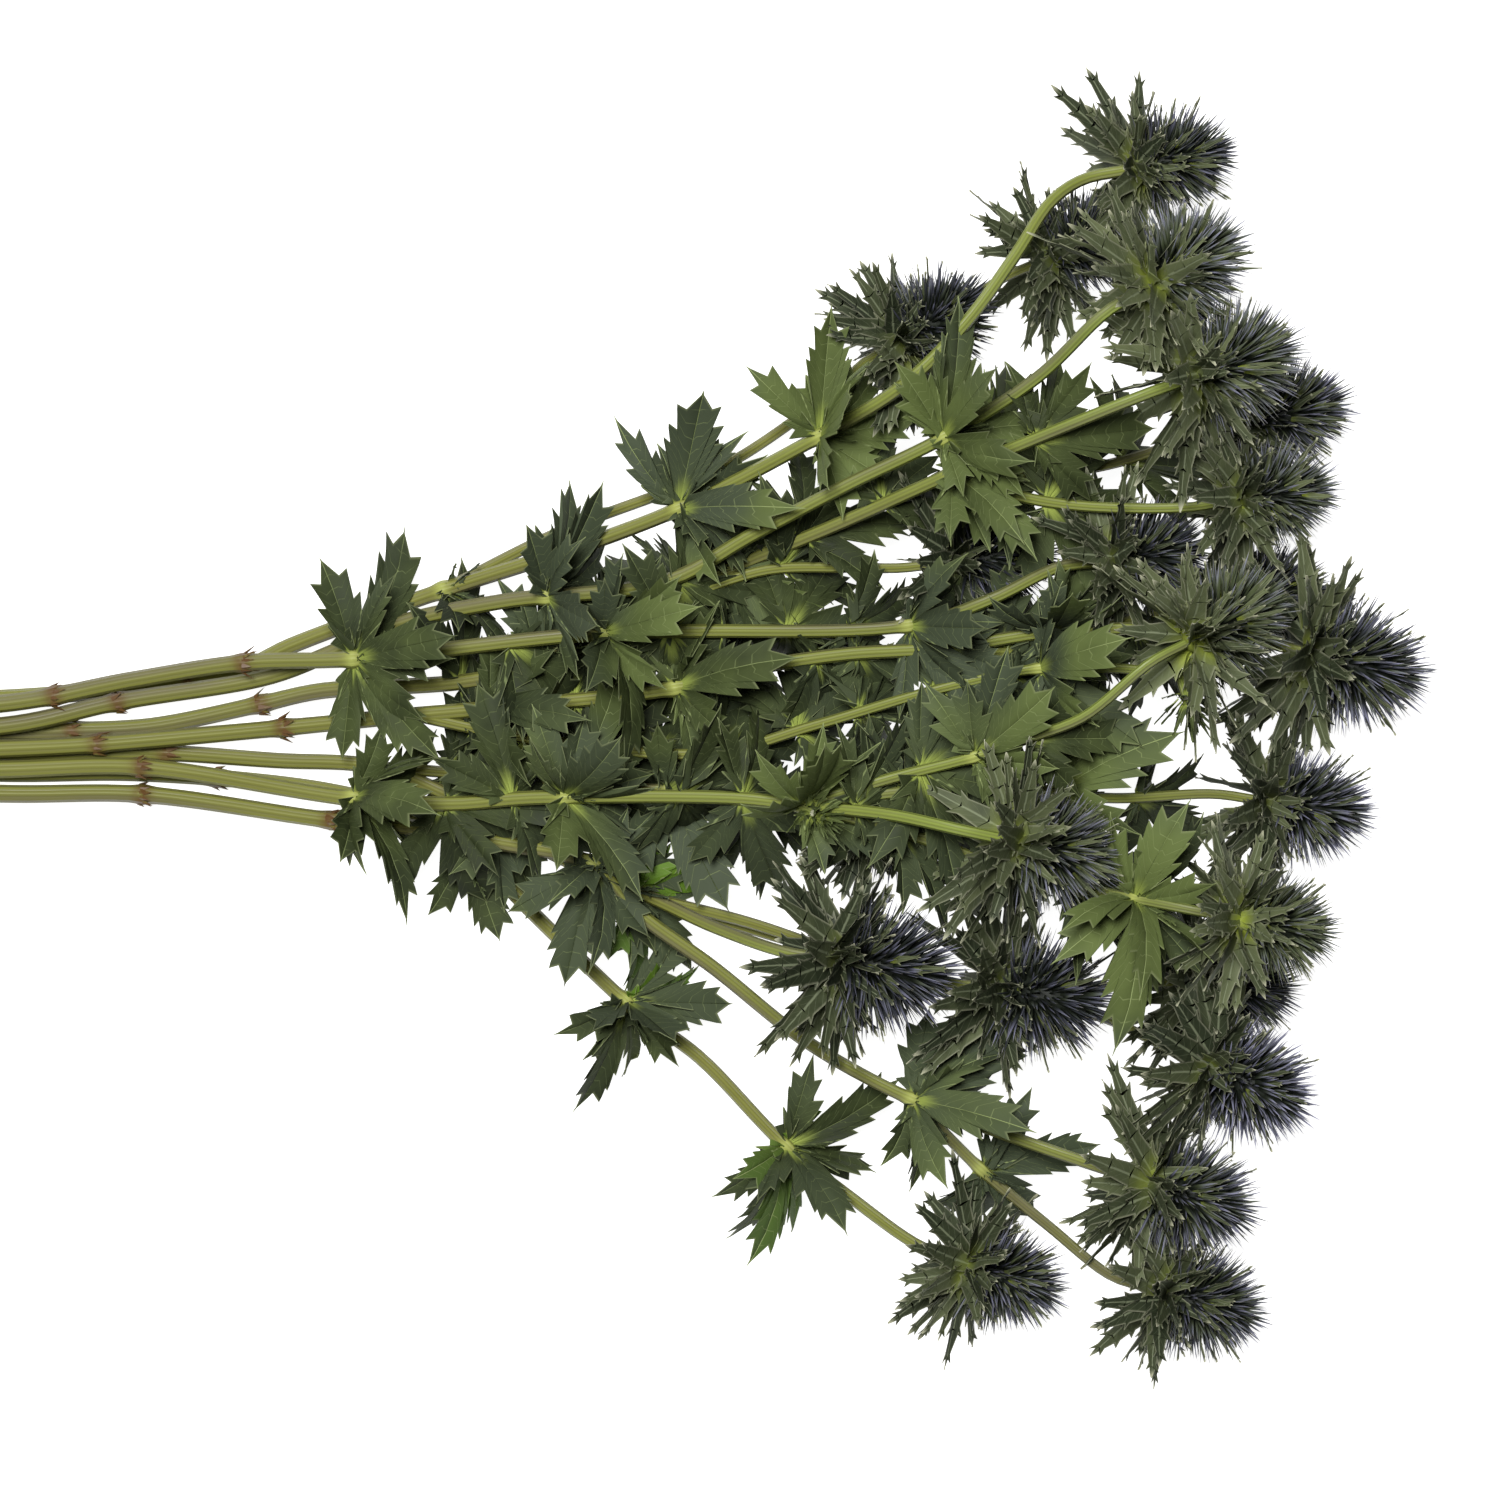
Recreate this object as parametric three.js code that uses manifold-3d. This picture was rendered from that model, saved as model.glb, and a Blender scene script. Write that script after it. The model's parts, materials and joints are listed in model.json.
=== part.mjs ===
// A bunch of cut sea holly lying on a table: nine branching stems gathered in an elastic band near
// their cut ends and fanned out to the right, with a whorl of lobed, spiny leaves at each joint of a
// stem and a thistle-like head on every shoot. Millimetres, +Z up. The bunch lies along X with its
// heads at +X, and its underside rests on z = 0.
import * as THREE from "three";
import { mergeVertices } from "three/addons/utils/BufferGeometryUtils.js";
import Module from "manifold-3d";

const wasm = await Module();
wasm.setup();

// Driving dimensions.
const CUT_END_X = -150;
const CUT_END_STAGGER = 10;
const BAND_X = -95;
const BAND_WIDTH = 7;
const BAND_THICKNESS = 0.9;
const TRUNK_RADIUS = 3.3;
const TRUNK_END_RADIUS = 2.3;
const BRANCH_RADIUS = 2.3;
const BRANCH_END_RADIUS = 1.9;
const JOINT_SWELL = 1.35;
const SCAR_SWELL = 1.2;
const JOINT_HALF_LENGTH = 4;
const GAP = 0.35;
const SMALLEST_EDGE = 0.15;
const BRACT_GAP = 1.1;
const NECK_LENGTH = 14;
const LEAF_LENGTH = 34;
const LEAF_HALF_WIDTH = 6.5;
const LEAF_THICKNESS = 1.4;
const LEAF_HUB = 8.5;
const LEAF_FREE_FOOT = 2;
const LEAF_FACING_UP = 0.7;
const LEAF_LOBE_ANGLE = 62;
const LEAF_CURL = 0.16;
const LEAF_TURN_GAIN = 1.6;
const BRACT_LENGTH = 31;
const BRACT_HALF_WIDTH = 4.1;
const BRACT_THICKNESS = 1.5;
const BRACT_CURL = -0.06;
const BRACTS_IN_RING = 5;
const COLLAR_LENGTH = 6;
const COLLAR_RADIUS = 6;
// The rings of corners that the collar is faceted between: [height, radius, shift in places].
const COLLAR_RINGS = [
  [0, 2.9, 0],
  [2.2, 0.85 * COLLAR_RADIUS, 0.5],
  [4.2, COLLAR_RADIUS, 0],
  [COLLAR_LENGTH, 5.2, 0.5],
];
const BRACT_LAYERS = [
  { height: 2.2, radius: 4.2, shift: 0, spread: 122, length: 1.15, teeth: 2, width: 1.15 },
  { height: 4.2, radius: 5.4, shift: 0.5, spread: 82, length: 0.95, teeth: 1, width: 0.9 },
];
const CONE_SEAT_GAP = 0.7;
const CONE_LENGTH = 27;
const CONE_RADIUS = 9.5;
const CONE_ROWS = 5;
const CONE_COLUMNS = 8;
const ROW_TWIST = 0.3;
const SPINE_LENGTH = 15;
const TOOTH_BACK = 0.16;
const TOOTH_LIFT = 0.12;
const NOTCH_WIDTH = 0.55;

// The stems in the band, seen from the cut ends: [y, z] of each, five on the table and four on them.
const ROW_PITCH = 7.2;
const BUNDLE_Y = 2;
const LOWER_Z = TRUNK_RADIUS + GAP + BAND_THICKNESS;
const UPPER_Z = LOWER_Z + 5.9;
const lowerRow = (place) => [BUNDLE_Y + ROW_PITCH * place, LOWER_Z];
const upperRow = (place) => [BUNDLE_Y + ROW_PITCH * place, UPPER_Z];

// Every head: the point where its shoot ends, the way it faces in degrees, and its size.
const HEADS = {
  "01": { base: [375, 192.7, 48], yaw: 12, pitch: 0, size: 0.95 },
  "02": { base: [346.7, 163, 34], yaw: 24, pitch: 5, size: 0.95 },
  "03": { base: [378.3, 150.7, 80], yaw: 32, pitch: -15, size: 1.05 },
  "04": { base: [298.3, 135, 34], yaw: 31, pitch: 8, size: 0.95 },
  "05": { base: [393.3, 121.7, 74], yaw: 20, pitch: -15, size: 1.1 },
  "06": { base: [413.3, 108.3, 30], yaw: 14, pitch: 0, size: 1.0 },
  "07": { base: [408.3, 82.3, 56], yaw: 8, pitch: -5, size: 0.95 },
  "08": { base: [315, 62.7, 28], yaw: 7, pitch: 0, size: 1.0 },
  "09": { base: [366.7, 62.7, 45], yaw: 8, pitch: -8, size: 0.95 },
  10: { base: [393.3, 35, 80], yaw: 28, pitch: -20, size: 1.05 },
  11: { base: [433.3, 32.7, 46], yaw: -14, pitch: 0, size: 1.15 },
  12: { base: [419.3, -16.7, 36], yaw: -8, pitch: 0, size: 1.0 },
  13: { base: [407.3, -55, 72], yaw: -11, pitch: -8, size: 0.95 },
  14: { base: [333.3, -29.3, 76], yaw: -12, pitch: -12, size: 1.05 },
  15: { base: [276, -69.3, 56], yaw: -9, pitch: 0, size: 1.15 },
  16: { base: [330, -79.3, 40], yaw: -8, pitch: 12, size: 1.1 },
  17: { base: [396.7, -78.3, 29], yaw: -3, pitch: 0, size: 0.95 },
  18: { base: [400, -104, 45], yaw: -24, pitch: 10, size: 1.05 },
  19: { base: [380, -143.3, 44], yaw: -18, pitch: 0, size: 1.05 },
  20: { base: [320, -170.7, 31], yaw: -20, pitch: 0, size: 0.95 },
  21: { base: [385, -180, 31], yaw: -16, pitch: 0, size: 1.0 },
  22: { base: [286.7, -23.3, 30], yaw: -11, pitch: 0, size: 0.9 },
  23: { base: [408.3, 50, 30], yaw: 8, pitch: 0, size: 0.9 },
};

// Every plant: its place in the band, the points that its trunk passes after it, its leafless
// joints (scars) and leafy joints (whorls) by their x, and its branches, each from one of the
// trunk's own points. A shoot ends at a head, or in a bud.
const PLANTS = [
  {
    start: upperRow(1.5),
    way: [[0, 15.8, 12], [42, 23.5, 17], [80, 29.3, 21.5], [117, 30.5, 26], [201, 39, 35], [303, 41.5, 42],
      [330, 50, 50]],
    head: "09",
    scars: [16, 80],
    whorls: [117, 201, 303],
    branches: [{ way: [[201, 39, 35], [225, 50, 34], [255, 60, 32], [280, 61, 30]], head: "08" }],
  },
  {
    start: upperRow(0.5),
    way: [[0, 8.3, 11.2], [37, 16.2, 11], [88, 24.7, 12.5], [110, 33, 15], [132, 42.5, 20], [167, 49.7, 28],
      [222, 56.3, 40], [251, 71.7, 46], [283, 88.3, 54], [314, 103.3, 61], [345, 123, 70]],
    head: "03",
    scars: [37],
    whorls: [182, 314],
    branches: [],
  },
  {
    start: lowerRow(2),
    way: [[0, 17.5, 4.2], [42, 21.5, 4.8], [79, 27.5, 6], [95, 35, 8], [147, 53.7, 16], [179, 63.7, 22],
      [206, 72.7, 27], [230, 82.3, 33], [273, 104.3, 46], [301, 121, 58], [322, 142, 61], [338, 164, 60],
      [350, 182, 54]],
    head: "01",
    scars: [60],
    whorls: [147, 226, 273],
    branches: [
      { way: [[147, 53.7, 16], [185, 73, 12], [240, 95, 10], [279, 121, 9], [312, 143, 16]], head: "02" },
      { way: [[273, 104.3, 46], [279, 113, 42]], head: "04" },
    ],
  },
  {
    start: lowerRow(1),
    way: [[0, 6.2, 3.8], [21, 6.5, 3.9], [48, 8, 4.4], [85, 15.5, 6], [104, 19.7, 8], [165, 25, 20],
      [190, 38, 24], [222, 52, 24], [246, 62, 26], [278, 74.7, 38], [317, 91.7, 54], [350, 105, 70]],
    head: "05",
    scars: [21, 85],
    whorls: [178, 240, 317],
    branches: [
      { way: [[317, 91.7, 54], [338, 84.5, 52], [360, 81, 51]], head: "07" },
      { way: [[317, 91.7, 54], [335, 91, 44], [357, 93, 36], [376, 97, 31]], head: "06" },
    ],
  },
  {
    start: upperRow(-0.5),
    way: [[0, 0.5, 10.8], [30, 2, 11], [88, 7, 14], [137, 11.7, 20], [167, 14.3, 24], [225, 20.7, 32],
      [250, 27, 36], [280, 31.7, 40], [315, 34, 44], [354, 39.7, 46], [385, 40, 46]],
    head: "11",
    scars: [30, 93],
    whorls: [163, 225, 315, 350],
    branches: [
      { way: [[315, 34, 44], [340, 33, 38], [368, 41, 30]], head: "23" },
      {
        way: [[137, 11.7, 20], [170, 5, 24], [235, -1.3, 32], [272, 8.3, 40], [312, 20, 48], [346, 27, 54],
          [372, 27, 57], [392, 25, 62]],
        whorls: [346],
        buds: [{ yaw: 10, pitch: 20 }, { yaw: -75, pitch: 25 }],
      },
    ],
  },
  {
    start: upperRow(-1.5),
    way: [[0, -6.5, 10.6], [45, -5.7, 12.5], [117, -16.3, 24], [150, -18, 31], [177, -16, 37], [246, -16, 52],
      [267, -18.3, 56], [297, -21.5, 70]],
    head: "14",
    scars: [45],
    whorls: [117, 188, 267],
    buds: [{ x: 265, yaw: -25, pitch: 45 }],
    branches: [
      {
        way: [[267, -18.3, 56], [297, -9.3, 60], [324, -2.3, 66], [343, 4.3, 71], [360, 11, 78]],
        head: "10",
        whorls: [324],
      },
      { way: [[267, -18.3, 56], [300, -14, 56], [335, -12, 48], [369, -16, 42]], head: "12", whorls: [352] },
      {
        way: [[267, -18.3, 56], [300, -27, 54], [340, -41, 52], [368, -47.3, 61]],
        head: "13",
        whorls: [377],
      },
    ],
  },
  {
    start: lowerRow(-2),
    way: [[0, -14.8, 4.1], [45, -15, 5], [109, -23.7, 10], [137, -26, 15], [165, -31, 21], [197, -38.3, 28],
      [212, -54, 31], [238, -73, 30], [270, -98.3, 30], [304, -116.7, 36], [329, -126, 40]],
    head: "19",
    scars: [45, 109],
    whorls: [197, 304],
    branches: [{ way: [[304, -116.7, 36], [327, -140, 33], [350, -159.3, 31]], head: "21", whorls: [327] }],
  },
  {
    start: lowerRow(0),
    way: [[0, -0.8, 3.9], [45, -0.6, 4.2], [90, -3.5, 8], [124, -5.7, 12], [150, -16, 14], [180, -33, 15.5],
      [203, -44, 20], [218, -50, 26], [238, -59, 40]],
    head: "15",
    scars: [53],
    whorls: [124, 165, 210],
    branches: [
      { way: [[218, -50, 26], [250, -58, 22], [280, -68, 22], [300, -73, 27]], head: "16" },
      { way: [[218, -50, 26], [250, -60, 16], [290, -72, 14], [330, -84, 15], [366, -89, 26]], head: "18" },
      { way: [[330, -84, 15], [350, -83, 20]], head: "17" },
      { way: [[124, -5.7, 12], [180, -10, 19], [235, -15, 25]], head: "22", whorls: [222] },
    ],
  },
  {
    start: lowerRow(-1),
    way: [[0, -7.8, 3.8], [45, -7.8, 3.8], [109, -14, 4], [137, -22, 4.2], [160, -37, 6], [172, -50, 9],
      [190, -67.7, 12], [212, -88, 15], [233, -103.3, 17], [262, -133, 21], [284, -150, 28]],
    head: "20",
    scars: [70],
    whorls: [154, 208, 262],
    branches: [],
  },
];

const LEAF_ROLLS = [8, 88, 172];

const STEM_GREEN = 0x76904a;
const CONE_BLUE = 0x4d5870;
const BRACT_GREEN = 0x4f6b4a;
const BAND_TAN = 0xb99a5f;

const degrees = (angle) => THREE.MathUtils.degToRad(angle);
const point = ([x, y, z]) => new THREE.Vector3(x, y, z);

// Numbers from 0 to 1 that are the same at every run.
function randomFrom(seed) {
  let state = seed >>> 0;
  return () => {
    state = (state + 0x6d2b79f5) >>> 0;
    let t = Math.imul(state ^ (state >>> 15), 1 | state);
    t = (t + Math.imul(t ^ (t >>> 7), 61 | t)) ^ t;
    return ((t ^ (t >>> 14)) >>> 0) / 4294967296;
  };
}

// A three.js geometry as a solid that can be joined and tested for touching.
function solidOf(geometry) {
  const bare = new THREE.BufferGeometry();
  bare.setAttribute("position", geometry.getAttribute("position"));
  if (geometry.index) bare.setIndex(geometry.index);
  const merged = mergeVertices(bare, 1e-4);
  const corners = merged.index.array;
  const kept = [];
  for (let i = 0; i < corners.length; i += 3) {
    const [a, b, c] = [corners[i], corners[i + 1], corners[i + 2]];
    if (a !== b && b !== c && c !== a) kept.push(a, b, c);
  }
  return new wasm.Manifold(
    new wasm.Mesh({
      numProp: 3,
      vertProperties: new Float32Array(merged.attributes.position.array),
      triVerts: new Uint32Array(kept),
    }),
  );
}

function geometryOf(solid) {
  const mesh = solid.getMesh();
  const positions = new Float32Array(mesh.numVert * 3);
  for (let i = 0; i < mesh.numVert; i++) {
    positions.set(mesh.vertProperties.subarray(i * mesh.numProp, i * mesh.numProp + 3), i * 3);
  }
  const geometry = new THREE.BufferGeometry();
  geometry.setAttribute("position", new THREE.BufferAttribute(positions, 3));
  geometry.setIndex(new THREE.BufferAttribute(new Uint32Array(mesh.triVerts), 1));
  geometry.computeVertexNormals();
  return geometry;
}

const joined = (solids) => wasm.Manifold.union(solids).simplify(SMALLEST_EDGE);

// True where a solid keeps its gap to every obstacle near it.
function isClear(solid, obstacles, gap = GAP) {
  const own = solid.boundingBox();
  return obstacles.every(({ solid: other, box }) => {
    const apart = [0, 1, 2].some((k) => own.min[k] > box.max[k] + gap || own.max[k] < box.min[k] - gap);
    return apart || solid.minGap(other, 2 * gap) > gap;
  });
}

const obstacle = (solid) => ({ solid, box: solid.boundingBox() });

// A closed skin that is put together corner by corner.
class Skin {
  corners = [];
  triangles = [];

  add(corner) {
    this.corners.push(corner.x, corner.y, corner.z);
    return this.corners.length / 3 - 1;
  }

  face(...loop) {
    for (let k = 1; k < loop.length - 1; k++) this.triangles.push(loop[0], loop[k], loop[k + 1]);
  }

  solid() {
    const geometry = new THREE.BufferGeometry();
    geometry.setAttribute("position", new THREE.Float32BufferAttribute(this.corners, 3));
    geometry.setIndex(this.triangles);
    return solidOf(geometry);
  }
}

// Grows a pointed blade with forward teeth out of four corners of a skin: one above its midrib, one
// under it, and one at each edge. The blade runs along +X of its frame and is thick at its midrib.
function growBlade(skin, foot, frame, { length, halfWidth, teeth, thickness, curl }) {
  const widthAt = (t) => halfWidth * Math.sin(Math.PI * (0.15 + 0.8 * t));
  const place = (t, y, lift) =>
    skin.add(new THREE.Vector3(t * length, y, lift - curl * t * t * length).applyMatrix4(frame));
  const top = [foot.top];
  const under = [foot.under];
  const edges = { 1: [foot.edges[0]], "-1": [foot.edges[1]] };
  for (let i = 1; i <= teeth; i++) {
    const notch = i / (teeth + 1);
    const tooth = (i - TOOTH_BACK) / (teeth + 1);
    top.push(place(notch, 0, thickness / 2));
    under.push(place(notch, 0, -thickness / 2));
    for (const side of [1, -1]) {
      edges[side].push(place(tooth, side * widthAt(tooth), TOOTH_LIFT * halfWidth));
      edges[side].push(place(notch, side * widthAt(notch) * NOTCH_WIDTH, 0));
    }
  }
  const tip = place(1, 0, 0);
  for (const side of [1, -1]) {
    for (const [rib, isTop] of [[top, true], [under, false]]) {
      const face = (a, b, c) => ((side > 0) === isTop ? skin.face(a, b, c) : skin.face(a, c, b));
      for (let i = 0; i < teeth; i++) {
        const [notch, tooth, next] = edges[side].slice(2 * i, 2 * i + 3);
        face(rib[i], rib[i + 1], next);
        face(rib[i], next, tooth);
        face(rib[i], tooth, notch);
      }
      face(rib[teeth], tip, edges[side][2 * teeth]);
    }
  }
}

// A blade by itself, with its foot closed: it is what is tested for touching.
function looseBlade(frame, blade) {
  const skin = new Skin();
  const at = (y, z) => skin.add(new THREE.Vector3(0, y, z).applyMatrix4(frame));
  const half = blade.halfWidth * NOTCH_WIDTH;
  const foot = {
    top: at(0, blade.thickness / 2),
    under: at(0, -blade.thickness / 2),
    edges: [at(half, 0), at(-half, 0)],
  };
  growBlade(skin, foot, frame, blade);
  skin.face(foot.top, foot.edges[0], foot.under, foot.edges[1]);
  return skin.solid();
}

// A frame that stands on an axis: its X runs at an angle from the axis, out to the given roll.
function outwardFrame(root, axis, side, up, roll, spread) {
  const radial = side.clone().multiplyScalar(Math.cos(roll)).addScaledVector(up, Math.sin(roll));
  const along = axis.clone().multiplyScalar(Math.cos(spread)).addScaledVector(radial, Math.sin(spread));
  const across = axis.clone().cross(radial).normalize();
  const normal = along.clone().cross(across);
  return { matrix: new THREE.Matrix4().makeBasis(along, across, normal).setPosition(root), radial };
}

// A frame turned about its own X until its Z has come most of the way round to face upwards.
function facedUp(frame, share) {
  const [along, across, normal] = [new THREE.Vector3(), new THREE.Vector3(), new THREE.Vector3()];
  frame.extractBasis(along, across, normal);
  const upright = new THREE.Vector3(0, 0, 1).addScaledVector(along, -along.z).normalize();
  normal.lerp(upright, share).normalize();
  const place = new THREE.Vector3().setFromMatrixPosition(frame);
  return new THREE.Matrix4().makeBasis(along, normal.clone().cross(along), normal).setPosition(place);
}

// An axis with a level side direction and the direction that completes it upwards.
function axesOf(direction) {
  const axis = direction.clone().normalize();
  const side = new THREE.Vector3(0, 0, 1).cross(axis).normalize();
  return { axis, side, up: axis.clone().cross(side) };
}

function headAxes({ yaw, pitch }) {
  const level = Math.cos(degrees(pitch));
  return axesOf(
    new THREE.Vector3(
      level * Math.cos(degrees(yaw)),
      level * Math.sin(degrees(yaw)),
      Math.sin(degrees(pitch)),
    ),
  );
}

// The curve of a shoot from its first point to the neck of the head that it carries.
function shootCurve(points, head) {
  const way = points.map(point);
  if (head) {
    const { axis } = headAxes(head);
    const end = point(head.base).addScaledVector(axis, -GAP);
    way.push(end.clone().addScaledVector(axis, -NECK_LENGTH), end);
  }
  return new THREE.CatmullRomCurve3(way, false, "centripetal");
}

// How far along its curve, from 0 to 1, a stem reaches an x.
function shareAtX(curve, x) {
  let [low, high] = [0, 1];
  for (let i = 0; i < 40; i++) {
    const middle = (low + high) / 2;
    if (curve.getPointAt(middle).x < x) low = middle;
    else high = middle;
  }
  return (low + high) / 2;
}

// A stem turned on a lathe, straight, and then laid along its curve. Its joints are swollen rings.
function stemSolid(curve, { radius, endRadius, sides, step, swellings }) {
  const length = curve.getLength();
  const radiusAt = (s) => THREE.MathUtils.lerp(radius, endRadius, s / length);
  const rings = [];
  for (const { share, swell } of swellings) {
    const s = share * length;
    for (const [offset, factor] of [[-JOINT_HALF_LENGTH, 1], [0, swell], [JOINT_HALF_LENGTH, 1]]) {
      rings.push([s + offset, radiusAt(s) * factor]);
    }
  }
  const count = Math.ceil(length / step);
  for (let i = 0; i <= count; i++) {
    const s = (i / count) * length;
    const isNearJoint = swellings.some(({ share }) => Math.abs(share * length - s) < 2.5 * JOINT_HALF_LENGTH);
    if (i === 0 || i === count || !isNearJoint) rings.push([s, radiusAt(s)]);
  }
  rings.sort((a, b) => a[0] - b[0]);
  const profile = rings.filter(([s]) => s >= 0 && s <= length).map(([s, r]) => new THREE.Vector2(r, s));
  profile.unshift(new THREE.Vector2(0, 0));
  profile.push(new THREE.Vector2(0, length));
  const geometry = new THREE.LatheGeometry(profile, sides);
  const places = geometry.getAttribute("position");
  for (let i = 0; i < places.count; i++) {
    const share = THREE.MathUtils.clamp(places.getY(i) / length, 0, 1);
    const { side, up } = axesOf(curve.getTangentAt(share));
    const laid = curve.getPointAt(share);
    laid.addScaledVector(side, -places.getX(i)).addScaledVector(up, places.getZ(i));
    places.setXYZ(i, laid.x, laid.y, laid.z);
  }
  return solidOf(geometry);
}

// An egg-shaped core whose every facet is raised to a spine.
function coneSkin({ size, rows, columns, spineLengths, matrix }) {
  const skin = new Skin();
  const add = (corner) => skin.add(corner.applyMatrix4(matrix));
  const rings = [];
  for (let row = 0; row < rows; row++) {
    rings.push([]);
    for (let column = 0; column < columns; column++) {
      rings[row].push(add(eggPoint(size, row / rows, (column + ROW_TWIST * row) / columns)));
    }
  }
  const tip = add(new THREE.Vector3(CONE_LENGTH * size, 0, 0));
  const heel = add(new THREE.Vector3(0, 0, 0));
  coneFacets(rows, columns).forEach(({ row, column, next }, i) => {
    const far = row === rows - 1 ? [tip] : [rings[row + 1][next], rings[row + 1][column]];
    const loop = [rings[row][column], rings[row][next], ...far];
    const { root, direction } = spineOf(size, rows, columns, row, column);
    const point = add(root.addScaledVector(direction, spineLengths[i]));
    loop.forEach((corner, k) => skin.face(corner, loop[(k + 1) % loop.length], point));
  });
  for (let column = 0; column < columns; column++) {
    skin.face(heel, rings[0][(column + 1) % columns], rings[0][column]);
  }
  return skin;
}

function coneFacets(rows, columns) {
  const facets = [];
  for (let row = 0; row < rows; row++) {
    for (let column = 0; column < columns; column++) {
      facets.push({ row, column, next: (column + 1) % columns });
    }
  }
  return facets;
}

// A point of the egg-shaped core at a share of its length and of a turn.
function eggPoint(size, share, turn) {
  const radius = CONE_RADIUS * size * Math.sin(Math.PI * (0.2 + 0.8 * share)) ** 0.75;
  const angle = 2 * Math.PI * turn;
  return new THREE.Vector3(share * CONE_LENGTH * size, radius * Math.cos(angle), radius * Math.sin(angle));
}

// Where a spine of the cone stands and points: outwards low down, and forwards at the tip.
function spineOf(size, rows, columns, row, column) {
  const share = (row + 0.5) / rows;
  const turn = (column + 0.5 + ROW_TWIST * (row + 0.5)) / columns;
  const lean = degrees(6 + 74 * share ** 1.2);
  const angle = 2 * Math.PI * turn;
  const direction = new THREE.Vector3(
    Math.sin(lean),
    Math.cos(lean) * Math.cos(angle),
    Math.cos(lean) * Math.sin(angle),
  );
  return { root: eggPoint(size, Math.min(share, 0.93), turn), direction };
}

function headMatrix(head, start) {
  const { axis, side, up } = headAxes(head);
  const place = point(head.base).addScaledVector(axis, start);
  return new THREE.Matrix4().makeBasis(axis, side, up).setPosition(place);
}

// The flowering cone of a head. A spine that would touch a neighbour is kept short.
function coneSolid(head, random, obstacles) {
  const { size } = head;
  const matrix = headMatrix(head, COLLAR_LENGTH + CONE_SEAT_GAP);
  const spineLengths = coneFacets(CONE_ROWS, CONE_COLUMNS).map(({ row, column }) => {
    const full = SPINE_LENGTH * size * (1.15 - (0.35 * row) / CONE_ROWS) * (0.85 + 0.3 * random());
    const { root, direction } = spineOf(size, CONE_ROWS, CONE_COLUMNS, row, column);
    const { axis, side, up } = axesOf(direction);
    const needle = (length) => {
      const geometry = new THREE.ConeGeometry(3.4 * size, length + 1, 4);
      geometry.rotateZ(-Math.PI / 2).translate(length / 2 - 0.5, 0, 0);
      geometry.applyMatrix4(new THREE.Matrix4().makeBasis(axis, side, up).setPosition(root));
      return solidOf(geometry.applyMatrix4(matrix));
    };
    const shares = [1, 0.75, 0.5, 0.25];
    return full * (shares.find((share) => isClear(needle(full * share), obstacles)) ?? 0.12);
  });
  return coneSkin({ size, rows: CONE_ROWS, columns: CONE_COLUMNS, spineLengths, matrix }).solid();
}

// The ruff: a collar under the cone, faceted in diamonds, with a toothed bract grown out of each
// diamond. The outer ring of bracts is swept back along the stem.
function ruffSolid(head, random, obstacles) {
  const { size } = head;
  const { axis, side, up } = headAxes(head);
  const base = point(head.base);
  const count = BRACTS_IN_RING;
  const turnOfHead = random() * 360;
  const rollOf = (place) => turnOfHead + (place * 360) / count;
  const skin = new Skin();
  const ringAt = ([height, radius, shift]) =>
    Array.from({ length: count }, (_, k) => {
      const { radial } = outwardFrame(base, axis, side, up, degrees(rollOf(k + shift)), 0);
      return skin.add(base.clone().addScaledVector(axis, height).addScaledVector(radial, radius));
    });
  const [heelRing, lowRing, highRing, topRing] = COLLAR_RINGS.map(ringAt);
  const heel = skin.add(base.clone());
  const top = skin.add(base.clone().addScaledVector(axis, COLLAR_LENGTH));
  const placed = [];
  BRACT_LAYERS.forEach(({ height, radius, shift, spread, length, teeth, width }, layer) => {
    for (let k = 0; k < count; k++) {
      const next = (k + 1) % count;
      const foot = layer === 0
        ? { top: highRing[k], under: heelRing[k], edges: [lowRing[k], lowRing[(k + count - 1) % count]] }
        : { top: topRing[k], under: lowRing[k], edges: [highRing[next], highRing[k]] };
      const roll = rollOf(k + shift) + 14 * (random() - 0.5);
      const lean = spread + 16 * (random() - 0.5);
      const reach = BRACT_LENGTH * size * length * (0.88 + 0.24 * random());
      const root = base.clone().addScaledVector(axis, height);
      const bend = ([turn, fold, share]) => {
        const [outTo, away] = [degrees(roll + turn), degrees(lean + fold)];
        const { matrix, radial } = outwardFrame(root, axis, side, up, outTo, away);
        matrix.setPosition(root.clone().addScaledVector(radial, radius));
        const blade = { length: reach * share, halfWidth: BRACT_HALF_WIDTH * size * width, teeth };
        return [matrix, { ...blade, thickness: BRACT_THICKNESS, curl: BRACT_CURL }];
      };
      const fits = (blade) => isClear(blade, obstacles, BRACT_GAP) && isClear(blade, placed, 0.5 * GAP);
      const attempt = TRIES.find((one) => fits(looseBlade(...bend(one))));
      if (attempt) {
        const [frame, blade] = bend(attempt);
        growBlade(skin, foot, frame, blade);
        placed.push(obstacle(looseBlade(frame, blade)));
      } else {
        skin.face(foot.top, foot.edges[1], foot.under, foot.edges[0]);
      }
    }
  });
  for (let k = 0; k < count; k++) {
    const next = (k + 1) % count;
    skin.face(heel, heelRing[next], heelRing[k]);
    skin.face(heelRing[k], heelRing[next], lowRing[k]);
    skin.face(topRing[k], highRing[next], topRing[next]);
    skin.face(top, topRing[k], topRing[next]);
  }
  return skin.solid();
}

// How a blade that would touch a neighbour is bent clear: [turn, fold, share of its length].
const TRIES = [
  [0, 0, 1], [0, -14, 1], [12, 0, 1], [-12, 0, 1], [0, 14, 1], [14, -14, 1], [-14, -14, 1], [0, -30, 1],
  [20, -30, 0.9], [-20, -30, 0.9], [24, 0, 0.8], [-24, 0, 0.8], [0, -45, 0.8], [0, 0, 0.6], [0, -30, 0.55],
  [22, -20, 0.5], [-22, -20, 0.5],
];

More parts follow.
